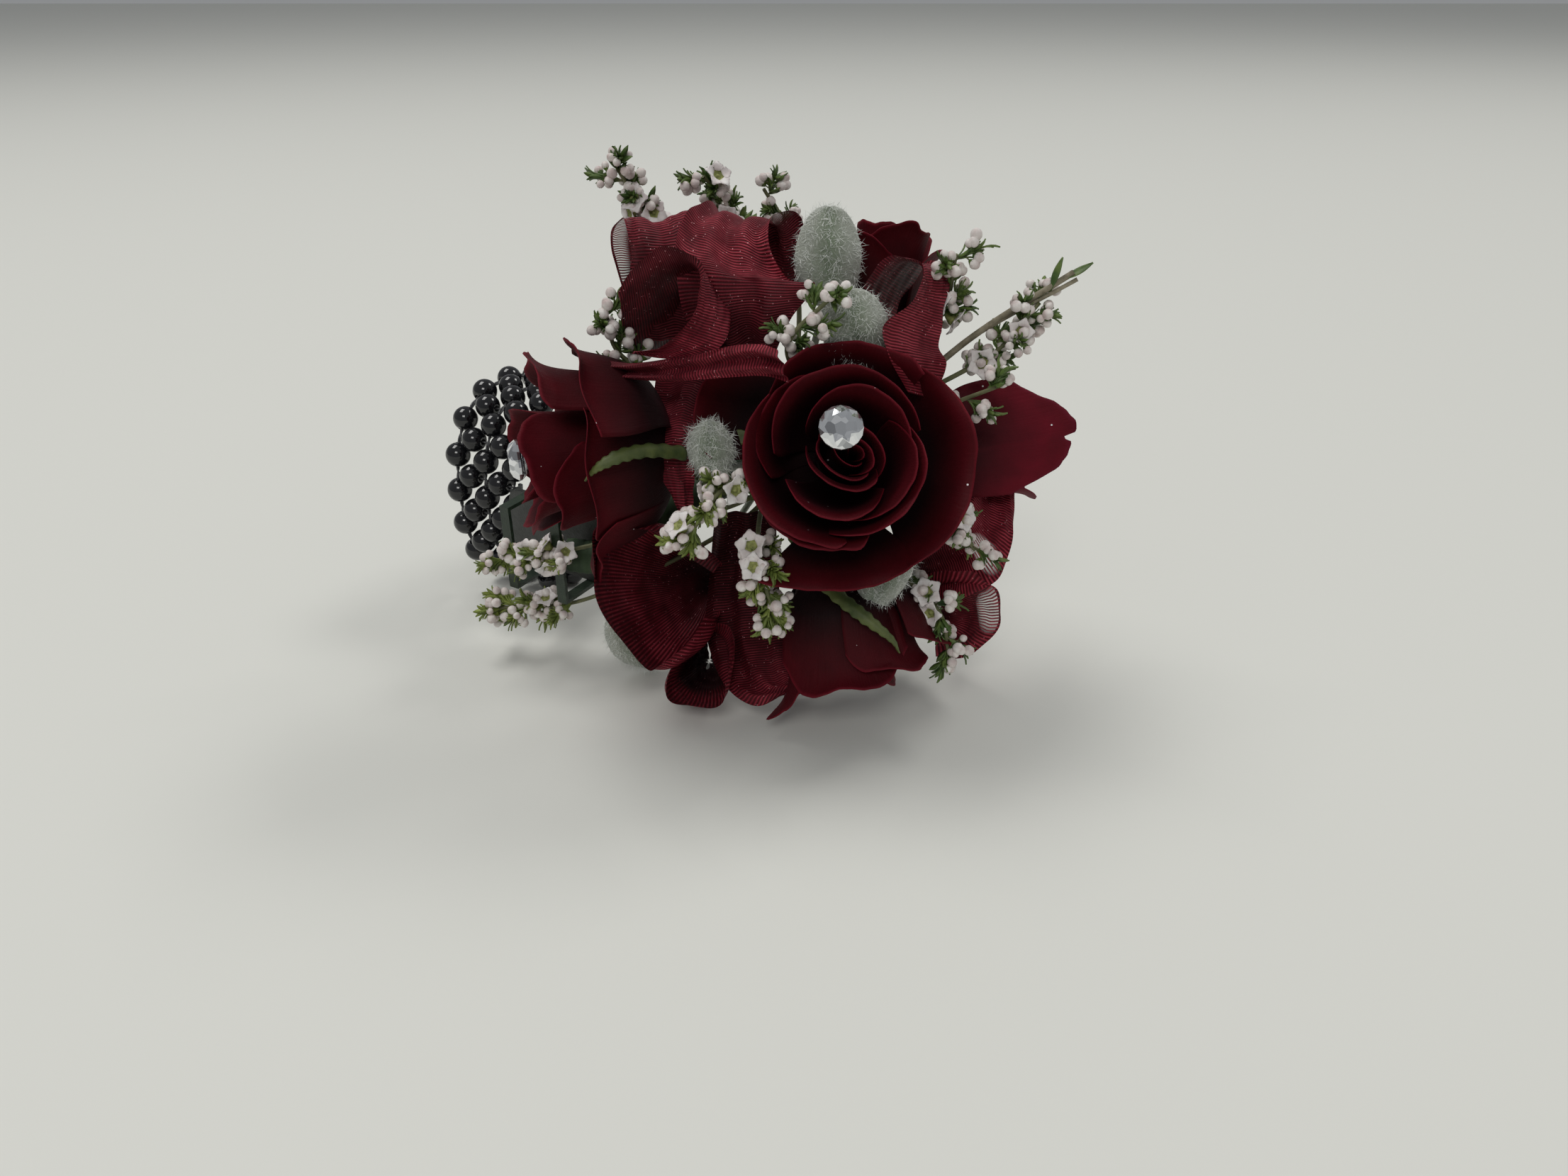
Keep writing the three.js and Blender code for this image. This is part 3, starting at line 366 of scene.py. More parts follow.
def cell_number(tree, place, cell):
    """One random number for each cell of a Voronoi pattern: the red of its colour."""
    split = node_of(tree, "ShaderNodeSeparateColor", place)
    wire(tree, cell.outputs["Color"], split.inputs["Color"])
    return split.outputs["Red"]


def finish_of(name, roughness, **values):
    """A new material with its Principled node, whose plain values are set on its own sockets."""
    material = bpy.data.materials.new(name)
    material.use_nodes = True
    shader = material.node_tree.nodes["Principled BSDF"]
    put(shader, Roughness=roughness, **values)
    return material, material.node_tree, shader


def glint_group():
    """The group for tiny scattered specks, made once: a cell pattern in which only some cells count, and
    only near their middle. Puts out a mask."""
    if "glints" in bpy.data.node_groups:
        return bpy.data.node_groups["glints"]
    tree = bpy.data.node_groups.new("glints", "ShaderNodeTree")
    tree.interface.new_socket(name="Vector", in_out="INPUT", socket_type="NodeSocketVector")
    for name, value in (("Scale", 300.0), ("Size", 0.1), ("Share", 0.1)):
        socket = tree.interface.new_socket(name=name, in_out="INPUT", socket_type="NodeSocketFloat")
        socket.default_value = value
    tree.interface.new_socket(name="Mask", in_out="OUTPUT", socket_type="NodeSocketFloat")
    start = node_of(tree, "NodeGroupInput", (-900, 0)).outputs
    end = node_of(tree, "NodeGroupOutput", (600, 0))
    cell = node_of(tree, "ShaderNodeTexVoronoi", (-600, 0))
    wire(tree, start["Vector"], cell.inputs["Vector"])
    wire(tree, start["Scale"], cell.inputs["Scale"])
    near = maths(tree, (-300, 100), "LESS_THAN", cell.outputs["Distance"], start["Size"])
    rare = maths(tree, (-200, -150), "LESS_THAN", cell_number(tree, (-400, -150), cell), start["Share"])
    wire(tree, maths(tree, (100, 0), "MULTIPLY", near, rare), end.inputs["Mask"])
    return tree


def glints(tree, place, vector, **values):
    """Places the speck group on the given coordinates. Returns its mask."""
    node = node_of(tree, "ShaderNodeGroup", place, node_tree=glint_group())
    wire(tree, vector, node.inputs["Vector"])
    put(node, **values)
    return node.outputs["Mask"]


def petal_finish(name, deep, middle, rim):
    """Velvety petal: dark towards its base, painted shade deep in the bloom, fine lengthwise veins, a
    lighter thin rim, a painted highlight where the edge catches the light, and a few glitter specks."""
    material, tree, shader = finish_of(name, 0.66, Sheen_Weight=0.03, Sheen_Roughness=0.4,
                                       Sheen_Tint=(0.9, 0.15, 0.25, 1), Specular_IOR_Level=0.16)
    spot, flat = coordinates(tree), coordinates(tree, "UV")
    # Painted shade over the lower part of the petal, deep in the bloom, and a painted highlight at the rim
    rise = ramp(tree, (-750, 300), parts(tree, flat)["Y"],
                [(0.0, deep), (0.4, deep), (0.85, middle), (0.96, middle), (0.993, rim)])
    tone_and_painted_light = remap(tree, (-550, 0), noise(tree, (-750, 0), spot, 130.0, 5.0), To_Min=0.55, To_Max=1.5)
    shade = scaled(tree, (-350, 150), rise, tone_and_painted_light)
    speck = glints(tree, (-550, -250), spot, Scale=420.0, Size=0.1, Share=0.05)
    colour = blend_colour(tree, (-100, 150), speck, shade, (0.9, 0.86, 0.88))
    wire(tree, colour, shader.inputs["Base Color"])
    stretch = node_of(tree, "ShaderNodeMapping", (-1000, -400))
    wire(tree, flat, stretch.inputs["Vector"])
    put(stretch, Scale=(60.0, 3.0, 1.0))
    vein = noise(tree, (-700, -450), stretch.outputs[0], 1.0, 4.0)
    grain = noise(tree, (-700, -650), spot, 2600.0, 2.0)
    bump(tree, shader, maths(tree, (-300, -500), "MULTIPLY_ADD", grain, 0.35, vein), 0.5, 0.0004)
    return material


def stripes(tree, place, coordinate, period):
    """A wave from 0 to 1 along one coordinate in millimetres."""
    angle = maths(tree, place, "MULTIPLY", coordinate, 2 * math.pi / period)
    wave = maths(tree, (place[0] + 160, place[1]), "SINE", angle)
    return remap(tree, (place[0] + 320, place[1]), wave, From_Min=-1.0)


def organza_finish():
    """Sheer woven ribbon: cross ribs and fine lengthwise threads that leave gaps where the attribute
    opened spreads them, a denser edge, metallic sparkle, and painted light and shade by the attribute tone."""
    settings = bpy.context.scene.corsage_ribbon
    material, tree, shader = finish_of("organza", 0.5, Sheen_Weight=0.02, Sheen_Roughness=0.35,
                                       Sheen_Tint=(1.0, 0.3, 0.35, 1), Specular_IOR_Level=0.2)
    across, along = parts(tree, coordinates(tree, "UV"))[:2]
    pitch = settings.rib_pitch / MM
    rib = stripes(tree, (-800, 350), along, pitch)
    thread = stripes(tree, (-800, 100), across, pitch / 2)
    weave = maths(tree, (-350, 250), "MULTIPLY_ADD", thread, 0.35, rib)
    half = settings.ribbon_width / MM / 2
    edge = remap(tree, (-600, -120), maths(tree, (-800, -120), "ABSOLUTE", across),
                 From_Min=half - 1.5, From_Max=half - 1.0)
    cover = remap(tree, (-200, 250), weave, From_Min=0.1, From_Max=0.95,
                  To_Min=settings.ribbon_gap, To_Max=1.0)
    whole = maths(tree, (0, 100), "MAXIMUM", cover, edge)
    closed = maths(tree, (200, 400), "SUBTRACT", 1.0, attribute(tree, (0, 400), "opened"))
    wire(tree, maths(tree, (200, 250), "MAXIMUM", closed, whole), shader.inputs["Alpha"])
    spot = coordinates(tree)
    cloud = noise(tree, (-800, -350), spot, 160.0, 3.0)
    threads = ramp(tree, (-350, -100), maths(tree, (-550, -300), "MULTIPLY", weave, cloud),
                   [(0.0, (0.03, 0.0004, 0.002)), (0.38, (0.125, 0.005, 0.013)),
                    (0.75, (0.4, 0.05, 0.072))])
    # Painted light and shade: the thread colours are scaled by the brightness that each ribbon carries
    painted_light_threads = scaled(tree, (-100, -150), threads, attribute(tree, (-350, -250), "tone_and_painted_light"))
    speck = glints(tree, (-550, -550), spot, Scale=2300.0, Size=0.3, Share=0.05)
    colour = blend_colour(tree, (0, -100), speck, painted_light_threads, (0.75, 0.38, 0.4))
    wire(tree, colour, shader.inputs["Base Color"])
    wire(tree, maths(tree, (0, -300), "MULTIPLY", speck, 0.7), shader.inputs["Metallic"])
    bump(tree, shader, weave, 0.6, 0.00025)
    return material


def felt_finish():
    """Felted leaf: grey with a greener middle, mottled, with a soft nap."""
    material, tree, shader = finish_of("felted_leaf", 0.95, Sheen_Weight=0.6, Sheen_Roughness=0.6,
                                       Specular_IOR_Level=0.15)
    spot = coordinates(tree)
    patch = noise(tree, (-800, 0), spot, 260.0, 5.0)
    offset = maths(tree, (-950, 50), "ABSOLUTE", parts(tree, coordinates(tree, "UV"))["X"])
    tones = ramp(tree, (-600, 250), maths(tree, (-780, 250), "MULTIPLY_ADD", patch, 0.7, offset),
                 [(0.0, (0.13, 0.19, 0.11)), (0.45, (0.24, 0.3, 0.2)), (1.0, (0.42, 0.45, 0.38))])
    wire(tree, tones, shader.inputs["Base Color"])
    bump(tree, shader, noise(tree, (-600, -300), spot, 1500.0, 4.0, 0.7), 0.9, 0.0008)
    return material


def mottled_finish(name, dark, light, scale, roughness, metallic=0.0):
    """A living surface in two tones, with a fine uneven relief."""
    material, tree, shader = finish_of(name, roughness, Metallic=metallic)
    spot = coordinates(tree)
    tones = ramp(tree, (-350, 0), noise(tree, (-600, 0), spot, scale, 4.0), [(0.3, dark), (0.7, light)])
    wire(tree, tones, shader.inputs["Base Color"])
    bump(tree, shader, noise(tree, (-600, -300), spot, scale * 4, 3.0), 0.4, 0.0003)
    return material


def bead_finish():
    """High-gloss black bead: faint swirls and light rub marks that change its roughness."""
    material, tree, shader = finish_of("bead_gloss", 0.06, Specular_IOR_Level=0.6)
    spot = coordinates(tree)
    tones = ramp(tree, (-350, 0), noise(tree, (-600, 0), spot, 300.0, 4.0),
                 [(0.2, (0.004, 0.004, 0.005)), (0.8, (0.012, 0.012, 0.014))])
    wire(tree, tones, shader.inputs["Base Color"])
    rub = remap(tree, (-350, -250), noise(tree, (-600, -250), spot, 900.0, 5.0), To_Min=0.03, To_Max=0.13)
    wire(tree, rub, shader.inputs["Roughness"])
    return material


def stone_finish():
    """Foil-backed cut stone: a clear bright body in patches from grey to white, painted reflections that
    stand in for the sparkle of its facets.
    """
    material, tree, shader = finish_of("stone", 0.04, Metallic=0.85, Coat_Weight=1.0, Coat_Roughness=0.02)
    cell = node_of(tree, "ShaderNodeTexVoronoi", (-600, 0))
    wire(tree, coordinates(tree), cell.inputs["Vector"])
    put(cell, Scale=520.0)
    # Painted reflections: each cell of the pattern takes a grey to white colour of the metal
    tones = ramp(tree, (-200, 0), cell_number(tree, (-400, 0), cell),
                 [(0.1, (0.35, 0.36, 0.38)), (0.5, (0.72, 0.74, 0.77)), (0.9, (0.97, 0.98, 1.0))])
    wire(tree, tones, shader.inputs["Base Color"])
    return material


# Material name, then the colours of a petal's base, middle and rim: the dark base is painted shade deep
# in the bloom and the lighter rim a painted highlight
PETALS = {
    "petal": ("petal_velvet", (0.007, 0.0, 0.0006), (0.062, 0.0004, 0.0035), (0.12, 0.003, 0.01)),
    # A brighter copy of the petal colours: painted light on the rose turned to the lamps
    "petal_bright": ("petal_velvet_painted_lit", (0.02, 0.0005, 0.002), (0.12, 0.0018, 0.01),
                     (0.13, 0.005, 0.018)),
}
# Material name, dark tone, light tone, scale of the mottling, roughness and, for metal, its share
MOTTLED = {
    "hair": ("leaf_hair", (0.62, 0.65, 0.6), (0.9, 0.92, 0.88), 300.0, 0.8),
    "elastic": ("elastic", (0.03, 0.03, 0.033), (0.12, 0.12, 0.125), 1500.0, 0.3),
    "steel": ("pin_steel", (0.4, 0.4, 0.42), (0.6, 0.6, 0.62), 900.0, 0.25, 1.0),
    "sepal": ("sepal_green", (0.028, 0.048, 0.01), (0.12, 0.145, 0.035), 180.0, 0.55),
    "needle_fresh": ("needle_fresh_green", (0.06, 0.1, 0.015), (0.3, 0.36, 0.08), 250.0, 0.5),
    "needle": ("needle_green", (0.03, 0.075, 0.015), (0.16, 0.23, 0.05), 250.0, 0.5),
    "bud": ("bud_white", (0.56, 0.45, 0.43), (0.86, 0.83, 0.79), 420.0, 0.55),
    "cup": ("cup_petal", (0.66, 0.58, 0.57), (0.88, 0.86, 0.84), 350.0, 0.6),
    "centre": ("cup_centre", (0.12, 0.14, 0.03), (0.4, 0.42, 0.14), 900.0, 0.6),
    "stem": ("stem_green", (0.09, 0.1, 0.04), (0.2, 0.2, 0.1), 300.0, 0.65),
    "twig": ("twig_bark", (0.16, 0.14, 0.09), (0.36, 0.32, 0.23), 500.0, 0.75),
    "tape": ("floral_tape", (0.012, 0.03, 0.01), (0.03, 0.06, 0.02), 240.0, 0.7),
    "clip": ("clip_plastic", (0.02, 0.022, 0.02), (0.04, 0.043, 0.04), 500.0, 0.35),
    "wire": ("tie_wire", (0.01, 0.02, 0.012), (0.025, 0.045, 0.025), 600.0, 0.4),
}
SPECIAL = {"ribbon": organza_finish, "felt": felt_finish, "bead": bead_finish, "stone": stone_finish}
FINISHES = {}


def finish(name):
    """The named finish, made on first use."""
    if name not in FINISHES:
        if name in PETALS:
            FINISHES[name] = petal_finish(*PETALS[name])
        elif name in MOTTLED:
            FINISHES[name] = mottled_finish(*MOTTLED[name])
        else:
            FINISHES[name] = SPECIAL[name]()
    return FINISHES[name]


def register_piece(piece, body, slot, *nodes):
    """Rides the piece on its body and hides the solids that it stands for. Its slot is not used."""
    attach(piece, body)
    if nodes:
        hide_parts(*nodes)
    return piece


# Band of beads

BAND_UNITS = 16
UNITS_PER_LENGTH = 4
BAND_YAW = math.radians(-30)
ACROSS_BAND = np.array([math.cos(BAND_YAW), math.sin(BAND_YAW), 0])
INWARD = np.array([-math.sin(BAND_YAW), math.cos(BAND_YAW), 0])
BAND_SQUARENESS = 2.5
BAND_DEPTH_SHARE = 0.8
FRONT_ROW = (UNITS_PER_LENGTH - 0.5) / 2
BAND_FRONT = np.array([-86.0, 37.0, 0.0])
STRAND_POINTS = 60
STRAND_TWIST = 9
STRAND_OFFSET = 0.28
STRAND_RADIUS = 0.3


def loop_shape(angle):
    """A rounded square: cosine and sine raised to a power that fills the corners out."""
    def power(value):
        """A signed power."""
        return np.sign(value) * np.abs(value) ** (2 / BAND_SQUARENESS)
    return np.stack([-BAND_DEPTH_SHARE * power(np.cos(angle)), power(np.sin(angle))], axis=-1)


class BandLoop:
    """The band's middle line, walked by units of the weave at even arc length."""

    def __init__(self, settings):
        self.pitch = settings.bead_pitch / MM
        self.radius = settings.bead_size / MM / 2
        angles = np.linspace(0, 2 * np.pi, 721)
        self.shape = loop_shape(angles)
        ruler = walked(self.shape)
        self.scale = BAND_UNITS * self.pitch / ruler[-1]
        self.ruler = ruler * self.scale
        lowest = self.flat(np.arange(BAND_UNITS * 2) / 2 - FRONT_ROW)[:, 1].min()
        centre = BAND_FRONT + INWARD * self.scale * BAND_DEPTH_SHARE
        self.centre = np.array([centre[0], centre[1], self.radius - lowest])

    def flat(self, units):
        """Position in the loop's own plane: depth and height, at a number of units along it."""
        target = np.mod(units, BAND_UNITS) * self.pitch
        depth = np.interp(target, self.ruler, self.shape[:, 0] * self.scale)
        height = np.interp(target, self.ruler, self.shape[:, 1] * self.scale)
        return np.stack([depth, height], axis=-1)

    def place(self, row, side=0.0):
        """Point, direction along the band and direction out of it at a row and a side offset."""
        row = np.asarray(row, float) - FRONT_ROW
        here = self.flat(row)
        run = unit(self.flat(row + 0.05) - self.flat(row - 0.05))
        along = INWARD * run[..., :1] + UP * run[..., 1:]
        point = self.centre + INWARD * here[..., :1] + UP * here[..., 1:] \
            + ACROSS_BAND * np.asarray(side, float)[..., None]
        return point, along, np.cross(np.broadcast_to(ACROSS_BAND, along.shape), along)


def bead_shape(radius, bore):
    """A bead: a circle's arc turned about z, sunk at both ends into its threading hole. Returns points
    and quads."""
    low = math.asin(bore / radius)
    arc = np.linspace(low, np.pi - low, 15)
    profile = np.stack([radius * np.sin(arc), -radius * np.cos(arc)], axis=1)
    depth = profile[-1, 1]
    inner = bore * 0.8
    profile = np.concatenate([[[0, -depth + 1.2], [inner, -depth + 1.2]], profile,
                              [[inner, depth - 1.2], [0, depth - 1.2]]])
    return lathe(profile, 24)


def make_band(settings):
    """Each length of the band: round beads threaded in right-angle weave. Along the band run pairs of
    elastic strands, helices half a turn apart, and single strands cross it in a gentle sine."""
    loop = BandLoop(settings)
    points, faces = bead_shape(loop.radius, 0.85)
    rng = np.random.default_rng(SEED)
    lengths = (("band_front", "spray"), ("band_top", "top_length"), ("band_back", "back_length"),
               ("band_bottom", "bottom_length"))
    for number, (node, body) in enumerate(lengths):
        form = Form()
        rows = number * UNITS_PER_LENGTH + np.arange(UNITS_PER_LENGTH, dtype=float)
        row, side = np.meshgrid(rows, np.array([-1.0, 0.0, 1.0]) * loop.pitch)
        spot, along, _ = loop.place(row.ravel(), side.ravel())
        turns = turns_to(along, rng.uniform(0, 6.28, len(spot)))
        scatter(form, points, faces, spot, turns, rng.uniform(0.985, 1.0, len(spot)))
        row, side = np.meshgrid(rows + 0.5, np.array([-0.5, 0.5]) * loop.pitch)
        spot, along, _ = loop.place(row.ravel(), side.ravel())
        across = np.broadcast_to(ACROSS_BAND, spot.shape)
        turns = turns_to(across, rng.uniform(0, 6.28, len(spot)))
        scatter(form, points, faces, spot, turns, rng.uniform(0.985, 1.0, len(spot)))
        for offset in (-1.0, 0.0, 1.0):
            run = np.linspace(rows[0] + 0.04, rows[-1] + 1.02, STRAND_POINTS)
            line, _, out = loop.place(run, np.full(STRAND_POINTS, offset * loop.pitch))
            for twist in (0.0, np.pi):
                angle = run * STRAND_TWIST + twist
                strand = np.cos(angle)[:, None] * ACROSS_BAND + np.sin(angle)[:, None] * out
                pipe(form, line + STRAND_OFFSET * strand, STRAND_RADIUS, 6, 1)
        for cross in rows + 0.5:
            run = np.linspace(-1.0, 1.0, 30) * loop.pitch
            line, _, out = loop.place(np.full(30, cross), run)
            angle = run * 0.9
            pipe(form, line + 0.12 * out * np.sin(angle)[:, None], 0.26, 6, 1)
        piece = form.build(f"{node}_beads", [finish("bead"), finish("elastic")])
        register_piece(piece, body, "bead", node)


# Roses

def in_rose(rose, points):
    """Points carried from the rose's own frame to the working frame."""
    return points @ rose["turn"].T + rose["place"]


def petal(form, rose, spec, thickness):
    """One petal in the rose's own frame. Its height runs along a cubic from the base, out through the
    belly and up to the rim, which may roll outwards; its width opens from 62% at the base; one side
    lies a little inside the other, so that petals lap. The rim rounds off as a cubic of the distance
    from the middle, and may carry a point or a notch and a gentle wave; sines of its width and height
    crumple it. A flattened petal widens by one over the cosine of its swing, and squeeze presses the
    rings of a heart to ovals. It thins by the cube of the way up."""
    u, v = grid(41, 34)
    side = 2 * u - 1
    v = v ** 0.85
    edge = 1 - spec.get("round", 0.28) * np.abs(side) ** spec.get("power", 3.0)
    edge = edge + spec.get("point", 0.0) * np.exp(-((side - spec.get("point_at", 0.0)) / 0.16) ** 2)
    edge = edge - spec.get("notch", 0.0) * np.exp(-((side - spec.get("notch_at", 0.0)) / 0.035) ** 2)
    edge = edge + 0.005 * np.sin(side * 15 + spec["mid"]) + 0.003 * np.sin(side * 31 + 2 * spec["mid"])
    rise = v * edge
    reach, height = spec["rim"]
    start = 0.15 * rose["size"]
    foot = 0.04 * rose["height"]
    lip = math.radians(spec.get("lip", 20))
    hold = spec.get("hold", 0.34) * height
    belly = spec.get("belly", 1.0)
    out = bezier(start, start + (reach - start) * belly, reach - math.sin(lip) * hold, reach, rise)
    lift = bezier(foot, foot + 0.12 * height, height - math.cos(lip) * hold, height, rise)
    width = 0.62 + 0.38 * np.sin(np.minimum(1, v * 1.4) * np.pi / 2)
    swing = side * math.radians(spec["half"]) * width
    angle = math.radians(spec["mid"]) + swing
    out = out * (1 - spec.get("lap", 0.08) * side * np.abs(side))
    ripple = spec.get("wave", 0.5) * np.sin(side * spec.get("waves", 7.0) + spec["mid"]) * v ** 4
    ripple = ripple + 0.26 * np.sin(side * 7 + spec["mid"]) * np.sin(v * 6 + side * 3) * v * v
    lift = lift + ripple + spec.get("crease", 0.0) * np.exp(-(side / 0.12) ** 2) * v
    out = out * (1 + spec.get("flat", 0.0) * (1 / np.maximum(np.cos(swing), 0.4) - 1))
    x, y = out * np.cos(angle), out * np.sin(angle)
    if "squeeze" in spec:
        tilt = math.radians(spec["tilt"])
        x, y = turned(x, y, -tilt)
        x, y = turned(x, y * spec["squeeze"], tilt)
    shift = spec.get("shift", (0.0, 0.0))
    local = np.stack([x + shift[0] * v, y + shift[1] * v, lift], axis=-1)
    shell(form, in_rose(rose, local), thickness * (1 - 0.6 * v ** 3),
          np.stack([u, rise / np.maximum(edge, 1e-3)], axis=-1))


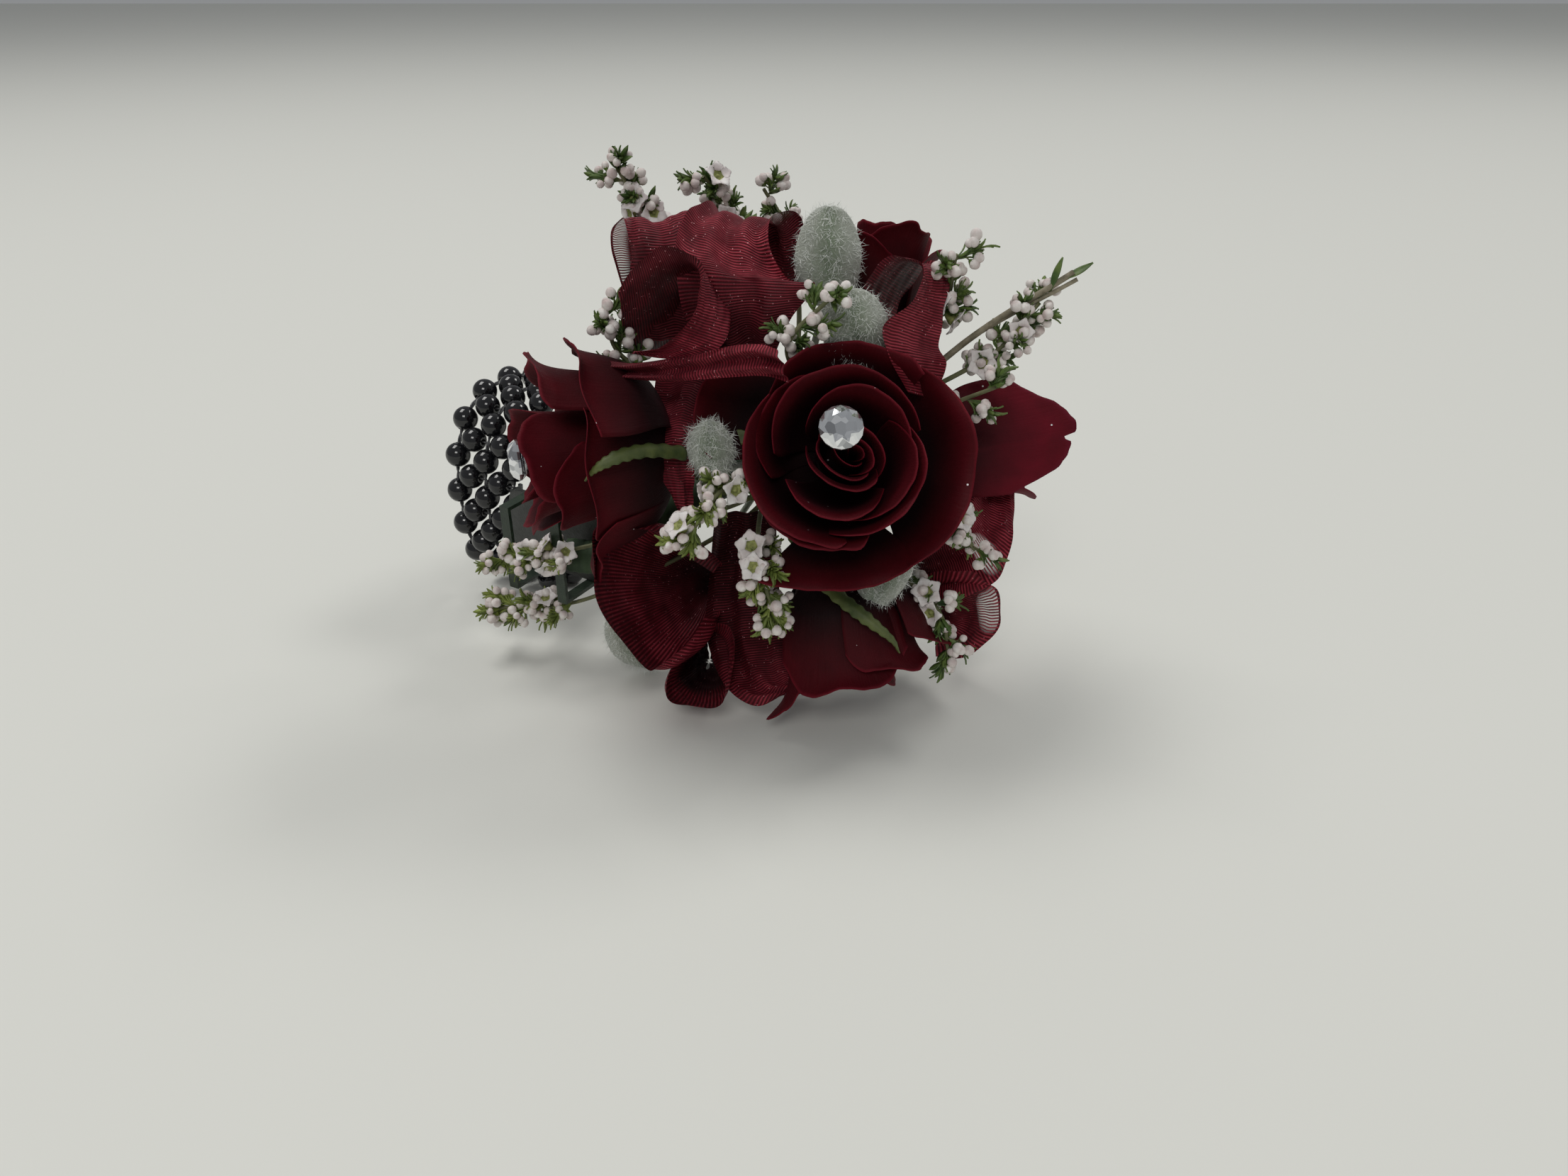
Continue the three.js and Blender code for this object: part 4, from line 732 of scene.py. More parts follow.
# Petals are given by the angle of their middle and their half width in degrees, the reach and height
# of the rim, and how far the rim rolls outwards (lip, in degrees); the rest is told in petal().
ROSES = {
    "front_rose": {
        "place": (13, -12, 67), "aim": (0, -0.88, 0.48), "size": 24, "height": 30, "finish": "petal",
        "heart": [
            {"mid": 40, "half": 150, "rim": (2.2, 23.5), "lip": 10, "lap": 0.3, "squeeze": 0.7,
             "tilt": -32, "shift": (2.5, 0.5), "wave": 0.2},
            {"mid": 215, "half": 120, "rim": (4.3, 24.5), "lip": 14, "lap": 0.18, "squeeze": 0.66,
             "tilt": -32, "shift": (1.8, 0.4), "wave": 0.3},
            {"mid": 20, "half": 115, "rim": (5.9, 24.6), "lip": 14, "lap": 0.16, "squeeze": 0.66,
             "tilt": -32, "shift": (1.2, 0.2), "wave": 0.3},
            {"mid": 235, "half": 100, "rim": (7.8, 25.2), "lip": 24, "lap": 0.14, "squeeze": 0.68,
             "tilt": -32, "shift": (1.0, 0.0), "wave": 0.4},
            {"mid": 60, "half": 112, "rim": (8.7, 25.0), "lip": 16, "lap": 0.12, "squeeze": 0.72,
             "tilt": -32, "shift": (1.0, 0.4), "wave": 0.4},
            {"mid": 255, "half": 84, "rim": (10.6, 25.4), "lip": 34, "lap": 0.12, "squeeze": 0.74,
             "tilt": -28, "shift": (0.8, 0.2), "wave": 0.5},
        ],
        "guard": [
            {"mid": 70, "half": 80, "rim": (13.8, 26.4), "lip": 22, "shift": (1.5, 1.0), "wave": 0.9},
            {"mid": -25, "half": 66, "rim": (15.2, 26.2), "lip": 26, "shift": (1.0, 0.0), "wave": 0.5},
            {"mid": 98, "half": 80, "rim": (18.8, 26.2), "lip": 46, "wave": 1.3, "waves": 9.0,
             "hold": 0.24, "crease": 0.9},
            {"mid": 206, "half": 66, "rim": (22.0, 24.5), "lip": 66, "wave": 1.0, "hold": 0.26,
             "round": 0.2, "point": 0.16, "point_at": 0.92},
            {"mid": -34, "half": 66, "rim": (18.4, 26.6), "lip": 40, "wave": 1.2, "waves": 10.0,
             "hold": 0.25},
            {"mid": 262, "half": 60, "rim": (14.6, 25.6), "lip": 44, "wave": 0.5, "hold": 0.22},
            {"mid": 238, "half": 50, "rim": (22.0, 22.5), "lip": 70, "point": 0.12, "point_at": 0.86,
             "round": 0.16, "wave": 0.4},
            {"mid": 150, "half": 46, "rim": (20.5, 20.5), "lip": 48, "wave": 0.5},
            {"mid": 152, "half": 27, "rim": (36.0, 11.0), "lip": 62, "round": 0.3, "wave": 0.8,
             "belly": 0.8},
            {"mid": 0, "half": 58, "rim": (30.0, 18.5), "lip": 82, "round": 0.22, "wave": 1.2,
             "waves": 9.0, "belly": 0.9},
            {"mid": 92, "half": 47, "rim": (25.2, 20.6), "lip": 68, "round": 0.12, "wave": 0.9,
             "waves": 8.0, "point": 0.07, "point_at": -0.8},
            {"mid": 272, "half": 36, "rim": (30.0, 14.5), "lip": 78, "round": 0.1, "wave": 0.9,
             "flat": 0.4, "belly": 0.8},
        ],
    },
    "left_rose": {
        "place": (-26, -5, 69), "aim": (-0.94, -0.3, 0.0), "size": 24, "height": 41, "finish": "petal",
        "sepal_paths": [[(-22.9, -21, 73.5), (-29.7, -27, 76.7), (-35.3, -31, 77.3), (-39.6, -33, 76.0),
                         (-42.1, -33, 74.1), (-43.8, -32, 71.7)]],
        "heart": [
            {"mid": 40, "half": 150, "rim": (2.6, 35), "lip": 10, "lap": 0.3},
            {"mid": 200, "half": 110, "rim": (5.0, 36.5), "lip": 14, "lap": 0.18},
            {"mid": 60, "half": 105, "rim": (7.2, 37), "lip": 18, "lap": 0.15},
            {"mid": 290, "half": 90, "rim": (9.2, 38), "lip": 20, "lap": 0.14},
        ],
        "guard": [
            {"mid": 150, "half": 75, "rim": (13.0, 38.5), "lip": 22, "wave": 0.7},
            {"mid": 32, "half": 64, "rim": (15.5, 37.5), "lip": 34, "wave": 0.8},
            {"mid": 285, "half": 62, "rim": (15.0, 38.0), "lip": 34, "wave": 0.8},
            {"mid": 96, "half": 46, "rim": (25.5, 33.0), "lip": 62, "wave": 0.9, "round": 0.14,
             "power": 4.0},
            {"mid": 250, "half": 46, "rim": (19.0, 35.0), "lip": 58, "point": 0.14, "round": 0.3},
            {"mid": 345, "half": 52, "rim": (18.5, 31.5), "lip": 58, "wave": 0.8},
            {"mid": 14, "half": 62, "rim": (24.0, 24.5), "lip": 86, "wave": 0.9},
            {"mid": 74, "half": 44, "rim": (29.0, 23.5), "lip": 88, "round": 0.14, "power": 4.0,
             "wave": 0.9},
            {"mid": 292, "half": 42, "rim": (27.0, 23.5), "lip": 86, "point": 0.12, "wave": 0.9},
            {"mid": 185, "half": 62, "rim": (22.5, 26.0), "lip": 74},
        ],
    },
    "bottom_rose": {
        "place": (12, -12, 40), "aim": (0.12, -0.42, -0.9), "size": 22, "height": 33, "finish": "petal",
        "sepal_paths": [[(7.6, -21, 41.6), (14.2, -29, 39.1), (20, -34, 36.6), (25.3, -36, 32.7),
                         (27.3, -35, 28.5)]],
        "heart": [
            {"mid": 60, "half": 150, "rim": (3.0, 28), "lip": 10, "lap": 0.3},
            {"mid": 240, "half": 110, "rim": (5.6, 29.5), "lip": 14, "lap": 0.18},
            {"mid": 80, "half": 100, "rim": (7.8, 30), "lip": 18, "lap": 0.15},
        ],
        "guard": [
            {"mid": 200, "half": 66, "rim": (11.0, 31.5), "lip": 26},
            {"mid": 40, "half": 66, "rim": (12.5, 31.0), "lip": 30, "wave": 0.8},
            {"mid": 300, "half": 56, "rim": (14.0, 29.0), "lip": 40, "wave": 0.8},
            {"mid": 186, "half": 40, "rim": (17.5, 34.5), "lip": 44, "point": 0.12, "wave": 0.6},
            {"mid": 112, "half": 62, "rim": (18.5, 29.5), "lip": 60, "wave": 0.9, "flat": 0.2},
            {"mid": 52, "half": 52, "rim": (21.5, 26.5), "lip": 66, "wave": 0.8},
            {"mid": 12, "half": 46, "rim": (27.0, 22.0), "lip": 76, "point": 0.14, "point_at": 0.1},
            {"mid": 258, "half": 50, "rim": (17.0, 25.0), "lip": 60},
        ],
    },
    "top_rose": {
        "place": (22, 14, 90), "aim": (0.12, 0.25, 0.95), "size": 17, "height": 28, "finish": "petal",
        "heart": [
            {"mid": 60, "half": 150, "rim": (3.0, 26), "lip": 10, "lap": 0.3},
            {"mid": 240, "half": 110, "rim": (5.4, 26.5), "lip": 14, "lap": 0.18},
            {"mid": 80, "half": 100, "rim": (7.4, 27), "lip": 18, "lap": 0.15},
        ],
        "guard": [
            {"mid": 15, "half": 58, "rim": (12.6, 25.5), "lip": 44, "wave": 0.6},
            {"mid": 135, "half": 58, "rim": (13.2, 26.2), "lip": 50, "wave": 0.6, "point": 0.08},
            {"mid": 255, "half": 60, "rim": (12.4, 25.8), "lip": 44, "wave": 0.6},
            {"mid": 75, "half": 50, "rim": (15.8, 23), "lip": 66, "wave": 0.6, "point": 0.1},
            {"mid": 200, "half": 52, "rim": (15.0, 22), "lip": 66, "wave": 0.7},
            {"mid": 325, "half": 50, "rim": (15.4, 22.5), "lip": 66, "wave": 0.7},
        ],
    },
    "right_rose": {
        "place": (31, 4, 62), "aim": (0.96, 0.1, 0.12), "size": 24, "height": 42,
        # Painted light: this rose takes the brighter copy of the petal colours
        "finish": "petal_bright",
        "heart": [
            {"mid": 60, "half": 150, "rim": (3.2, 29), "lip": 10, "lap": 0.3},
            {"mid": 240, "half": 110, "rim": (6.0, 30), "lip": 14, "lap": 0.18},
        ],
        "guard": [
            {"mid": 20, "half": 75, "rim": (14.0, 31), "lip": 26, "wave": 0.7},
            {"mid": 262, "half": 62, "rim": (15.5, 31), "lip": 40, "wave": 0.7},
            {"mid": 154, "half": 54, "rim": (14.5, 39.0), "lip": 20, "flat": 0.6, "round": 0.36,
             "power": 2.3, "notch": 0.07, "notch_at": 0.12, "wave": 0.7, "crease": 0.6, "belly": 1.2},
        ],
    },
}


def sepals(form, rose, count=5):
    """Sepals that hang back from the calyx: long pointed blades, wide in their first half, folded along
    the middle, with saw edges and tips that curl. Each drops by the square of the way along."""
    size, height = rose["size"], rose["height"]
    u, v = grid(9, 40)
    side = 2 * u - 1
    length = 0.62 * height
    for k in range(count):
        saw = 1 + 0.12 * np.sin(v * 60 + k) * np.abs(side)
        width = 2.5 * np.sin(np.pi * (0.16 + 0.84 * v)) ** 0.8 * saw
        out = 0.21 * size + length * (0.55 * v - 0.1 * v * v) + 0.6 * np.sin(v * 5 + k)
        drop = -0.06 * height - length * 0.7 * v * v + 0.5 * np.abs(side) * (1 - v)
        across = side * width + 1.2 * v * v * math.sin(k * 2.3)
        local = np.stack([*turned(out, across, SEPAL_TURN + k / count * 2 * np.pi), drop], axis=-1)
        shell(form, in_rose(rose, local)[:, ::-1], 0.5 * (1 - 0.5 * v), np.stack([u, v], axis=-1), 1)


def forward_sepal(form, path):
    """A sepal that lies along a given path: a blade that tapers as one minus the cube of the way along,
    with saw teeth and a raised middle."""
    u, v = grid(9, 60)
    side = 2 * u - 1
    line = spline(path, v[0])
    along = unit(np.gradient(line, axis=0))
    face = np.array([0.0, -0.75, 0.66])
    across = unit(np.cross(along, face))
    rise = np.cross(across, along)
    saw = 1 + 0.14 * np.sin(v * 70) * np.abs(side)
    half = 1.6 * np.minimum(1, 1.6 - 1.3 * v) * (1 - 0.8 * v ** 3) * saw
    surface = line[None] + across[None] * (side * half)[..., None] \
        + rise[None] * (0.9 * (1 - side ** 2) * (1 - 0.5 * v))[..., None]
    shell(form, surface, 0.5 * (1 - 0.5 * v), np.stack([u, v], axis=-1), 1)


def make_rose(name, settings):
    """One rose: its heart, its guard petals and its calyx with sepals and stem."""
    rose = dict(ROSES[name])
    rose["place"] = np.array(rose["place"], float)
    rose["turn"] = facing(rose["aim"])
    size, height = rose["size"], rose["height"]
    wide, top = 0.13 * size, 0.4 * height
    inner, outer, high = 0.17 * size, 0.24 * size, 0.12 * height
    cores = {"heart": lathe([(0, 0.4), (wide, 0.4), (wide * 1.2, top), (0, top)], 16),
             "guard": lathe([(inner, 0.4), (outer, 0.4), (outer, high), (inner, high), (inner, 0.4)], 20)}
    for part, (points, faces) in cores.items():
        form = Form()
        for spec in rose[part]:
            petal(form, rose, spec, settings.petal_thickness / MM)
        form.add(in_rose(rose, points), faces)
        node = f"{name}_heart" if part == "heart" else f"{name}_guard_petals"
        # Painted light: the right rose's guard petals are named for the brighter copy of the petal colours
        slot = "petal_bright" if name == "right_rose" and part == "guard" else "petal"
        piece = form.build(f"{node}_soft", [finish(rose["finish"])])
        register_piece(piece, "spray", slot, node)
    make_calyx(name, rose)


def make_calyx(name, rose):
    """The calyx, turned from a profile that swells by a power of a sine, with its sepals and the stem
    that runs to the bundle."""
    form = Form()
    wide, deep = 0.17 * rose["size"], 0.2 * rose["height"]
    rise = np.linspace(0, 1, 12)
    profile = np.stack([wide * (0.5 + 0.85 * np.sin(rise * 1.7) ** 1.4), -deep + deep * rise], axis=1)
    points, faces = lathe(np.concatenate([[[0, -deep]], profile, [[0, 0]]]), 24)
    form.add(in_rose(rose, points), faces, slot=1)
    sepals(form, rose)
    for path in rose.get("sepal_paths", ()):
        forward_sepal(form, path)
    aim = unit(rose["aim"])
    route = [rose["place"] - aim * deep / 2, rose["place"] - aim * deep * 1.5, HUB]
    pipe(form, spline(route, np.linspace(0, 1, 24)), 1.5, 10)
    piece = form.build(f"{name}_calyx_soft", [finish("stem"), finish("sepal")])
    register_piece(piece, "spray", "stem", f"{name}_calyx")


# Ribbon

# Each ribbon lies between the rails near and far. open: places (across, along, width, length) where the
# weave is spread. tone: (along, brightness), painted light and shade along the ribbon. dark: where across
# it darkens and how fast, painted shade towards the inside of a loop.
RIBBONS = {
    "ribbon_loop_top_left": {
        "bow": 1.8, "folds": 1.6, "depth": 1.4,
        "tone_and_painted_light": [(0, 0.45), (0.25, 0.7), (0.42, 1.2), (0.7, 1.0)],
        "open": [(0.02, 0.6, 0.2, 0.3), (0.04, 0.45, 0.12, 0.25)],
        "near": [(-34.1, 2, 92.7), (-35.8, 0, 104.4), (-35.1, 0, 114.6), (-37, 5, 121.1),
                 (-40.9, 12, 115.4), (-41, 16, 108.2), (-39.3, 18, 99.5), (-35.6, 14, 90.3)],
        "far": [(-18.6, 2, 92.7), (-19.4, -2, 106.5), (-19.8, -3, 116), (-20.9, 6, 122.5),
                (-22.2, 14, 114.6), (-22.4, 18, 107.1), (-22, 20, 99), (-21.2, 16, 89.7)]},
    "ribbon_loop_top": {
        "bow": 2.5, "folds": 2.3, "depth": 1.9,
        "tone_and_painted_light": [(0, 0.45), (0.2, 0.7), (0.4, 1.3), (0.55, 1.4), (0.8, 0.9)],
        "open": [(0.92, 0.62, 0.25, 0.2)],
        "near": [(-13.3, -6, 90.1), (-21.3, -8, 99.4), (-24, -8, 110.7), (-23.7, -4, 118.9),
                 (-21.4, 2, 122.3), (-17.6, 10, 122.9), (-14.2, 18, 115.3), (-12.1, 20, 101.5)],
        "far": [(-2.9, -10, 91.4), (1.4, -14, 102.4), (6.8, -14, 110.4), (0.1, -9, 110.6),
                (-3.5, -4, 117.7), (-1.8, 4, 121.2), (4.1, 12, 117.5), (4.3, 16, 102.6)]},
    "ribbon_coil": {
        "bow": -0.8, "folds": 0.5, "depth": 0.4, "roll": 1.2,
        "tone_and_painted_light": [(0, 0.6), (0.4, 0.5), (0.6, 1.1), (0.8, 1.4), (1, 1.2)],
        "near": [(-36.3, -12, 107.4), (-33.6, -13, 111.5), (-30.3, -15, 115.2), (-26.3, -16, 117.5),
                 (-22.1, -17, 117.9), (-19, -18, 115.2), (-18.5, -19, 111), (-20, -20, 106.4),
                 (-23.1, -21, 101.8), (-27.1, -21, 98.9), (-30.3, -21, 98), (-32.7, -21, 97.7)],
        "far": [(-38.4, 2, 90.6), (-35.3, 6, 87.6), (-29.7, 9, 88.4), (-23.5, 9, 95.2), (-18.8, 6, 104.4),
                (-15.5, 0, 109), (-13.1, -6, 106), (-11.6, -12, 101.4), (-14.2, -18, 97.6),
                (-19.8, -20, 95.5), (-26.9, -21, 95.9), (-33.4, -21, 97)]},
    "ribbon_tail": {
        "bow": 0.8, "folds": 1.6, "depth": 2,
        "tone_and_painted_light": [(0, 0.8), (0.5, 1.1), (1, 1.3)],
        "near": [(-41.6, -12, 92.5), (-34.8, -16, 93.2), (-26.6, -20, 95.5), (-18.4, -23, 97.7),
                 (-11.5, -25, 100), (-5.9, -27, 100.9), (-1.5, -29, 100.4)],
        "far": [(-42.7, -12, 88.9), (-34.9, -17, 89.8), (-25.5, -22, 91.1), (-17.3, -25, 92.6),
                (-9.7, -27, 93.8), (-4.1, -29, 94.5), (0.9, -31, 93.8)]},
    "ribbon_loop_top_right": {
        "bow": -1.5, "folds": 0.8, "depth": 0.8,
        "tone_and_painted_light": [(0, 0.7), (0.25, 0.7), (0.45, 1.2), (1, 1.2)],
        "near": [(18.3, -8, 99.4), (17, -10, 107.8), (19.4, -11, 113), (24.6, -10, 115.9),
                 (29.7, -9, 114.2), (30.9, -11, 109.6), (27.3, -15, 106.1), (22, -18, 102),
                 (23.3, -19, 95.8), (28.1, -19, 87.4)],
        "far": [(25.1, 4, 92.1), (26.6, 6, 98.2), (29.3, 7, 103.7), (33.4, 7, 109.9), (37.2, 3, 109.9),
                (37.8, -2, 106.5), (36.6, -7, 101.1), (35.1, -12, 96.3), (37, -14, 92.1),
                (34.4, -15, 84.3)]},
    "ribbon_loop_left": {
        "bow": -5, "folds": 2, "depth": 0.9, "roll": 2.2, "dark": (0.5, 0.45),
        "near": [(-16.5, -14, 40.8), (-23.1, -20, 49.9), (-29.8, -23, 56.7), (-37.8, -24, 58.7),
                 (-45.2, -23, 56.4), (-47.4, -23, 47.5), (-46.9, -25, 38.2), (-42.6, -27, 27.4),
                 (-36.5, -29, 20), (-31.1, -30, 17.7), (-22.7, -26, 22.4), (-18.1, -18, 26.7)],
        "far": [(-18.4, 13.7, 20), (-18.6, 13.6, 20.2), (-18.8, 13.6, 20.4), (-19.1, 13.5, 20.5),
                (-19.4, 13.6, 20.4), (-19.5, 13.6, 20.1), (-19.4, 13.5, 19.8), (-19.3, 13.5, 19.4),
                (-19.1, 13.5, 19.1), (-18.9, 13.5, 19), (-18.6, 13.5, 19.2), (-18.4, 13.6, 19.5)]},
    "ribbon_loop_bottom": {
        "bow": -1.5, "folds": 0.8, "depth": 0.5, "roll": 0.8, "dark": (0.3, 0.2),
        "near": [(-19.7, -12, 21.5), (-24.8, -18, 20), (-28.9, -24, 15.9), (-30.7, -27, 11.4),
                 (-27.4, -28, 8.2), (-21.1, -29, 7.2), (-14.9, -29, 10), (-12.7, -28, 18.8),
                 (-11.8, -26, 26.6), (-13.4, -20, 26.9), (-18.5, -13, 23.9)],
        "far": [(-20.8, 3.7, 1), (-21.1, 3.6, 0.8), (-21.3, 3.6, 0.5), (-21.3, 3.5, 0.3),
                (-21.2, 3.5, 0.1), (-20.9, 3.5, 0), (-20.6, 3.5, 0.2), (-20.5, 3.5, 0.6), (-20.5, 3.5, 1),
                (-20.6, 3.6, 1.1), (-20.8, 3.7, 1.1)]},
    "ribbon_fold": {
        "bow": 1.5, "folds": 2.6, "depth": 2,
        "tone_and_painted_light": [(0, 0.25), (0.3, 0.5), (0.55, 1.2), (1, 0.9)],
        "near": [(-18, 4, 46.8), (-19.7, 2, 32.6), (-21.1, -4, 20.3), (-18.9, -13, 11), (-12.2, -24, 7.9),
                 (-4, -28, 9.2), (2.8, -22, 10.8), (4.1, -18, 16.9), (3.3, -12, 21.5)],
        "far": [(-1.9, 2, 47.8), (-1.9, 0, 35.8), (-1, -8, 27.9), (2.1, -18, 19.5), (3.6, -22, 13.2),
                (5, -21, 11), (7.4, -19, 11.2), (8.3, -13, 14.7), (7.3, -7, 18.9)]},
    "ribbon_loop_right": {
        "bow": 1.5, "folds": 1.2, "depth": 0.9,
        "tone_and_painted_light": [(0, 1.2), (1, 1.3)],
        "open": [(0.6, 0.5, 0.35, 0.08)],
        "near": [(32.1, 0, 38.8), (37.5, -6, 41.9), (42.4, -10, 45.9), (44.6, -10, 50.7),
                 (46.1, -6, 54.5), (48.1, 0, 57.4), (51, 8, 58.1)],
        "far": [(33.8, -8, 26.9), (40.1, -14, 29.4), (46.9, -17, 34.1), (53.9, -15, 38.4),
                (57.2, -9, 46.4), (58.7, -1, 51.1), (60.2, 8, 54.8)]},
    "ribbon_loop_right_low": {
        "bow": 1.5, "folds": 1.4, "depth": 0.9, "roll": 1.0, "dark": (0.6, 0.5),
        "tone_and_painted_light": [(0, 1.3), (1, 1.3)],
        "open": [(0.12, 0.56, 0.3, 0.14)],
        "near": [(33.5, -8, 32.2), (39.6, -16, 39), (45.9, -19, 39.8), (51.2, -18, 35.9),
                 (54.6, -15, 27.6), (53.1, -12, 18), (47.2, -10, 11.7), (40.3, -8, 10.4)],
        "far": [(41.3, 5.7, 15), (41.6, 5.6, 15.2), (42, 5.5, 15.2), (42.3, 5.5, 15), (42.4, 5.6, 14.6),
                (42.3, 5.6, 14.2), (42, 5.7, 13.9), (41.6, 5.7, 13.8)]},
    "ribbon_strip": {
        "bow": 0.8, "folds": 1.4, "depth": 1.6,
        "near": [(-30.5, -2, 85.1), (-31.1, -12, 78.6), (-31.3, -20, 73.3), (-27.4, -22, 65.9),
                 (-24.8, -23, 60.2), (-23.2, -23, 54.9)],
        "far": [(-16.6, 0, 85.7), (-18.7, -10, 79.1), (-20.5, -18, 72), (-21.1, -20, 65),
                (-21.7, -22, 59.8), (-22.2, -23, 54.9)]},
    "ribbon_loop_rear": {
        "bow": 1.5, "folds": 1.1, "depth": 1.0,
        "near": [(-10, 16, 62), (-25, 36, 82), (-25, 47, 70), (-15, 40, 52), (-9, 20, 56)],
        "far": [(5, 17, 62), (-7, 38, 82), (-5, 49, 70), (3, 42, 52), (6, 21, 56)]},
}


def ribbon_surface(spec, settings):
    """The ribbon lies between two splines, its near and far selvedge. Between them it bows by one minus
    the square of the distance from the middle, carries soft lengthwise folds that deepen towards both
    ends by a sine, crinkles and flutters at the selvedges by sines, and may roll outwards in a narrow
    bell at the near one. Around the places named under open the weave is spread, falling off with the
    distance from them. The tone mask is painted light and shade: a brightness along the ribbon, darkened
    across towards the inside of a loop as painted shade. Returns the surface, its texture coordinates, its
    masks, width and length."""
    u, v = grid(49, 170)
    side = 2 * u - 1
    near, far = spline(spec["near"], v), spline(spec["far"], v)
    line = spline((np.array(spec["near"], float) + np.array(spec["far"])) / 2, v[0])
    along = unit(np.gradient(line, axis=0))[None]
    out = unit(np.cross(np.broadcast_to(along, near.shape), far - near))
    swell = np.sin(np.pi * v)
    bow = spec["bow"] * (1 - side ** 2) * (0.4 + 0.6 * swell)
    deep = spec["depth"] * (0.35 + 0.65 * (1 - swell)) * np.minimum(1, 6 * np.minimum(v, 1 - v) + 0.4)
    fold = deep * np.sin(np.pi * spec["folds"] * side * (1 + 0.3 * v) + 0.8 + 1.6 * v)
    crinkle = 0.22 * np.sin(side * 13 + v * 9) * np.sin(v * 21 + side * 4)
    flutter = 0.5 * np.abs(side) ** 6 * np.sin(v * 34 + side * 2) * swell
    roll = spec.get("roll", 0.0) * np.exp(-(u / 0.07) ** 2)
    lift = bow + fold + crinkle + flutter + roll
    surface = near + (far - near) * u[..., None] + out * lift[..., None]
    steps = np.linalg.norm(np.diff(surface, axis=1), axis=2).mean(axis=0)
    length = np.concatenate([[0], np.cumsum(steps)])
    width = np.linalg.norm(np.diff(surface, axis=0), axis=2).sum(axis=0).mean()
    across = side * settings.ribbon_width / MM / 2
    opened = np.zeros(u.shape)
    for u0, v0, wide, long in spec.get("open", ()):
        opened = np.maximum(opened, 1.5 - np.hypot((u - u0) / wide, (v - v0) / long) * 1.5)
    coords = np.stack(np.broadcast_arrays(across, length[None]), axis=-1)
    # Painted shade darkens the ribbon across towards the inside of a loop; painted light and shade run
    # along it
    start, reach = spec.get("dark", (1.0, 1.0))
    tone_and_painted_light = np.interp(v, *np.transpose(spec.get("tone_and_painted_light", [(0, 1.0), (1, 1.0)])))
    masks = {"opened": np.clip(opened, 0, 1),
             "tone_and_painted_light": tone_and_painted_light * (1 - 0.88 * np.clip((u - start) / reach, 0, 1))}
    return surface, coords, masks, width, length[-1]


def make_ribbons(settings):
    """Every loop and tail of the ribbon, each a sheet gathered across its width."""
    for name, spec in RIBBONS.items():
        surface, coords, masks, width, length = ribbon_surface(spec, settings)
        form = Form()
        form.add(surface, cells(*surface.shape[:2]), coords)
        piece = form.build(f"{name}_organza", [finish("ribbon")])
        for mask, values in masks.items():
            layer = piece.data.attributes.new(mask, "FLOAT", "POINT")
            layer.data.foreach_set("value", values.ravel())
        register_piece(piece, "spray", "ribbon", name)


# Leaves

LEAVES = {
    "leaf_top": {"place": (10, -1, 113), "length": 22, "width": 15, "along": (0.02, 0.15, 1),
                 "blunt": 0.36},
    "leaf_middle": {"place": (16, -14, 100), "length": 19, "width": 15, "along": (-0.2, -0.1, 1),
                    "blunt": 0.36},
    "leaf_left": {"place": (-17, -18, 73), "length": 15, "width": 11, "along": (0, -0.1, 1), "blunt": 0.45},
    "leaf_low_left": {"place": (-41, -3, 11), "length": 22, "width": 12, "along": (-0.45, -0.2, 0.9),
                      "blunt": 0.5, "sag": (4, 16, 2)},
    "leaf_low_right": {"place": (24, -25, 43), "length": 26, "width": 10, "along": (0.5, 0, 0.85),
                       "blunt": 0.5},
}


LEAF_FACE = np.array([0, -1.0, 0.35])


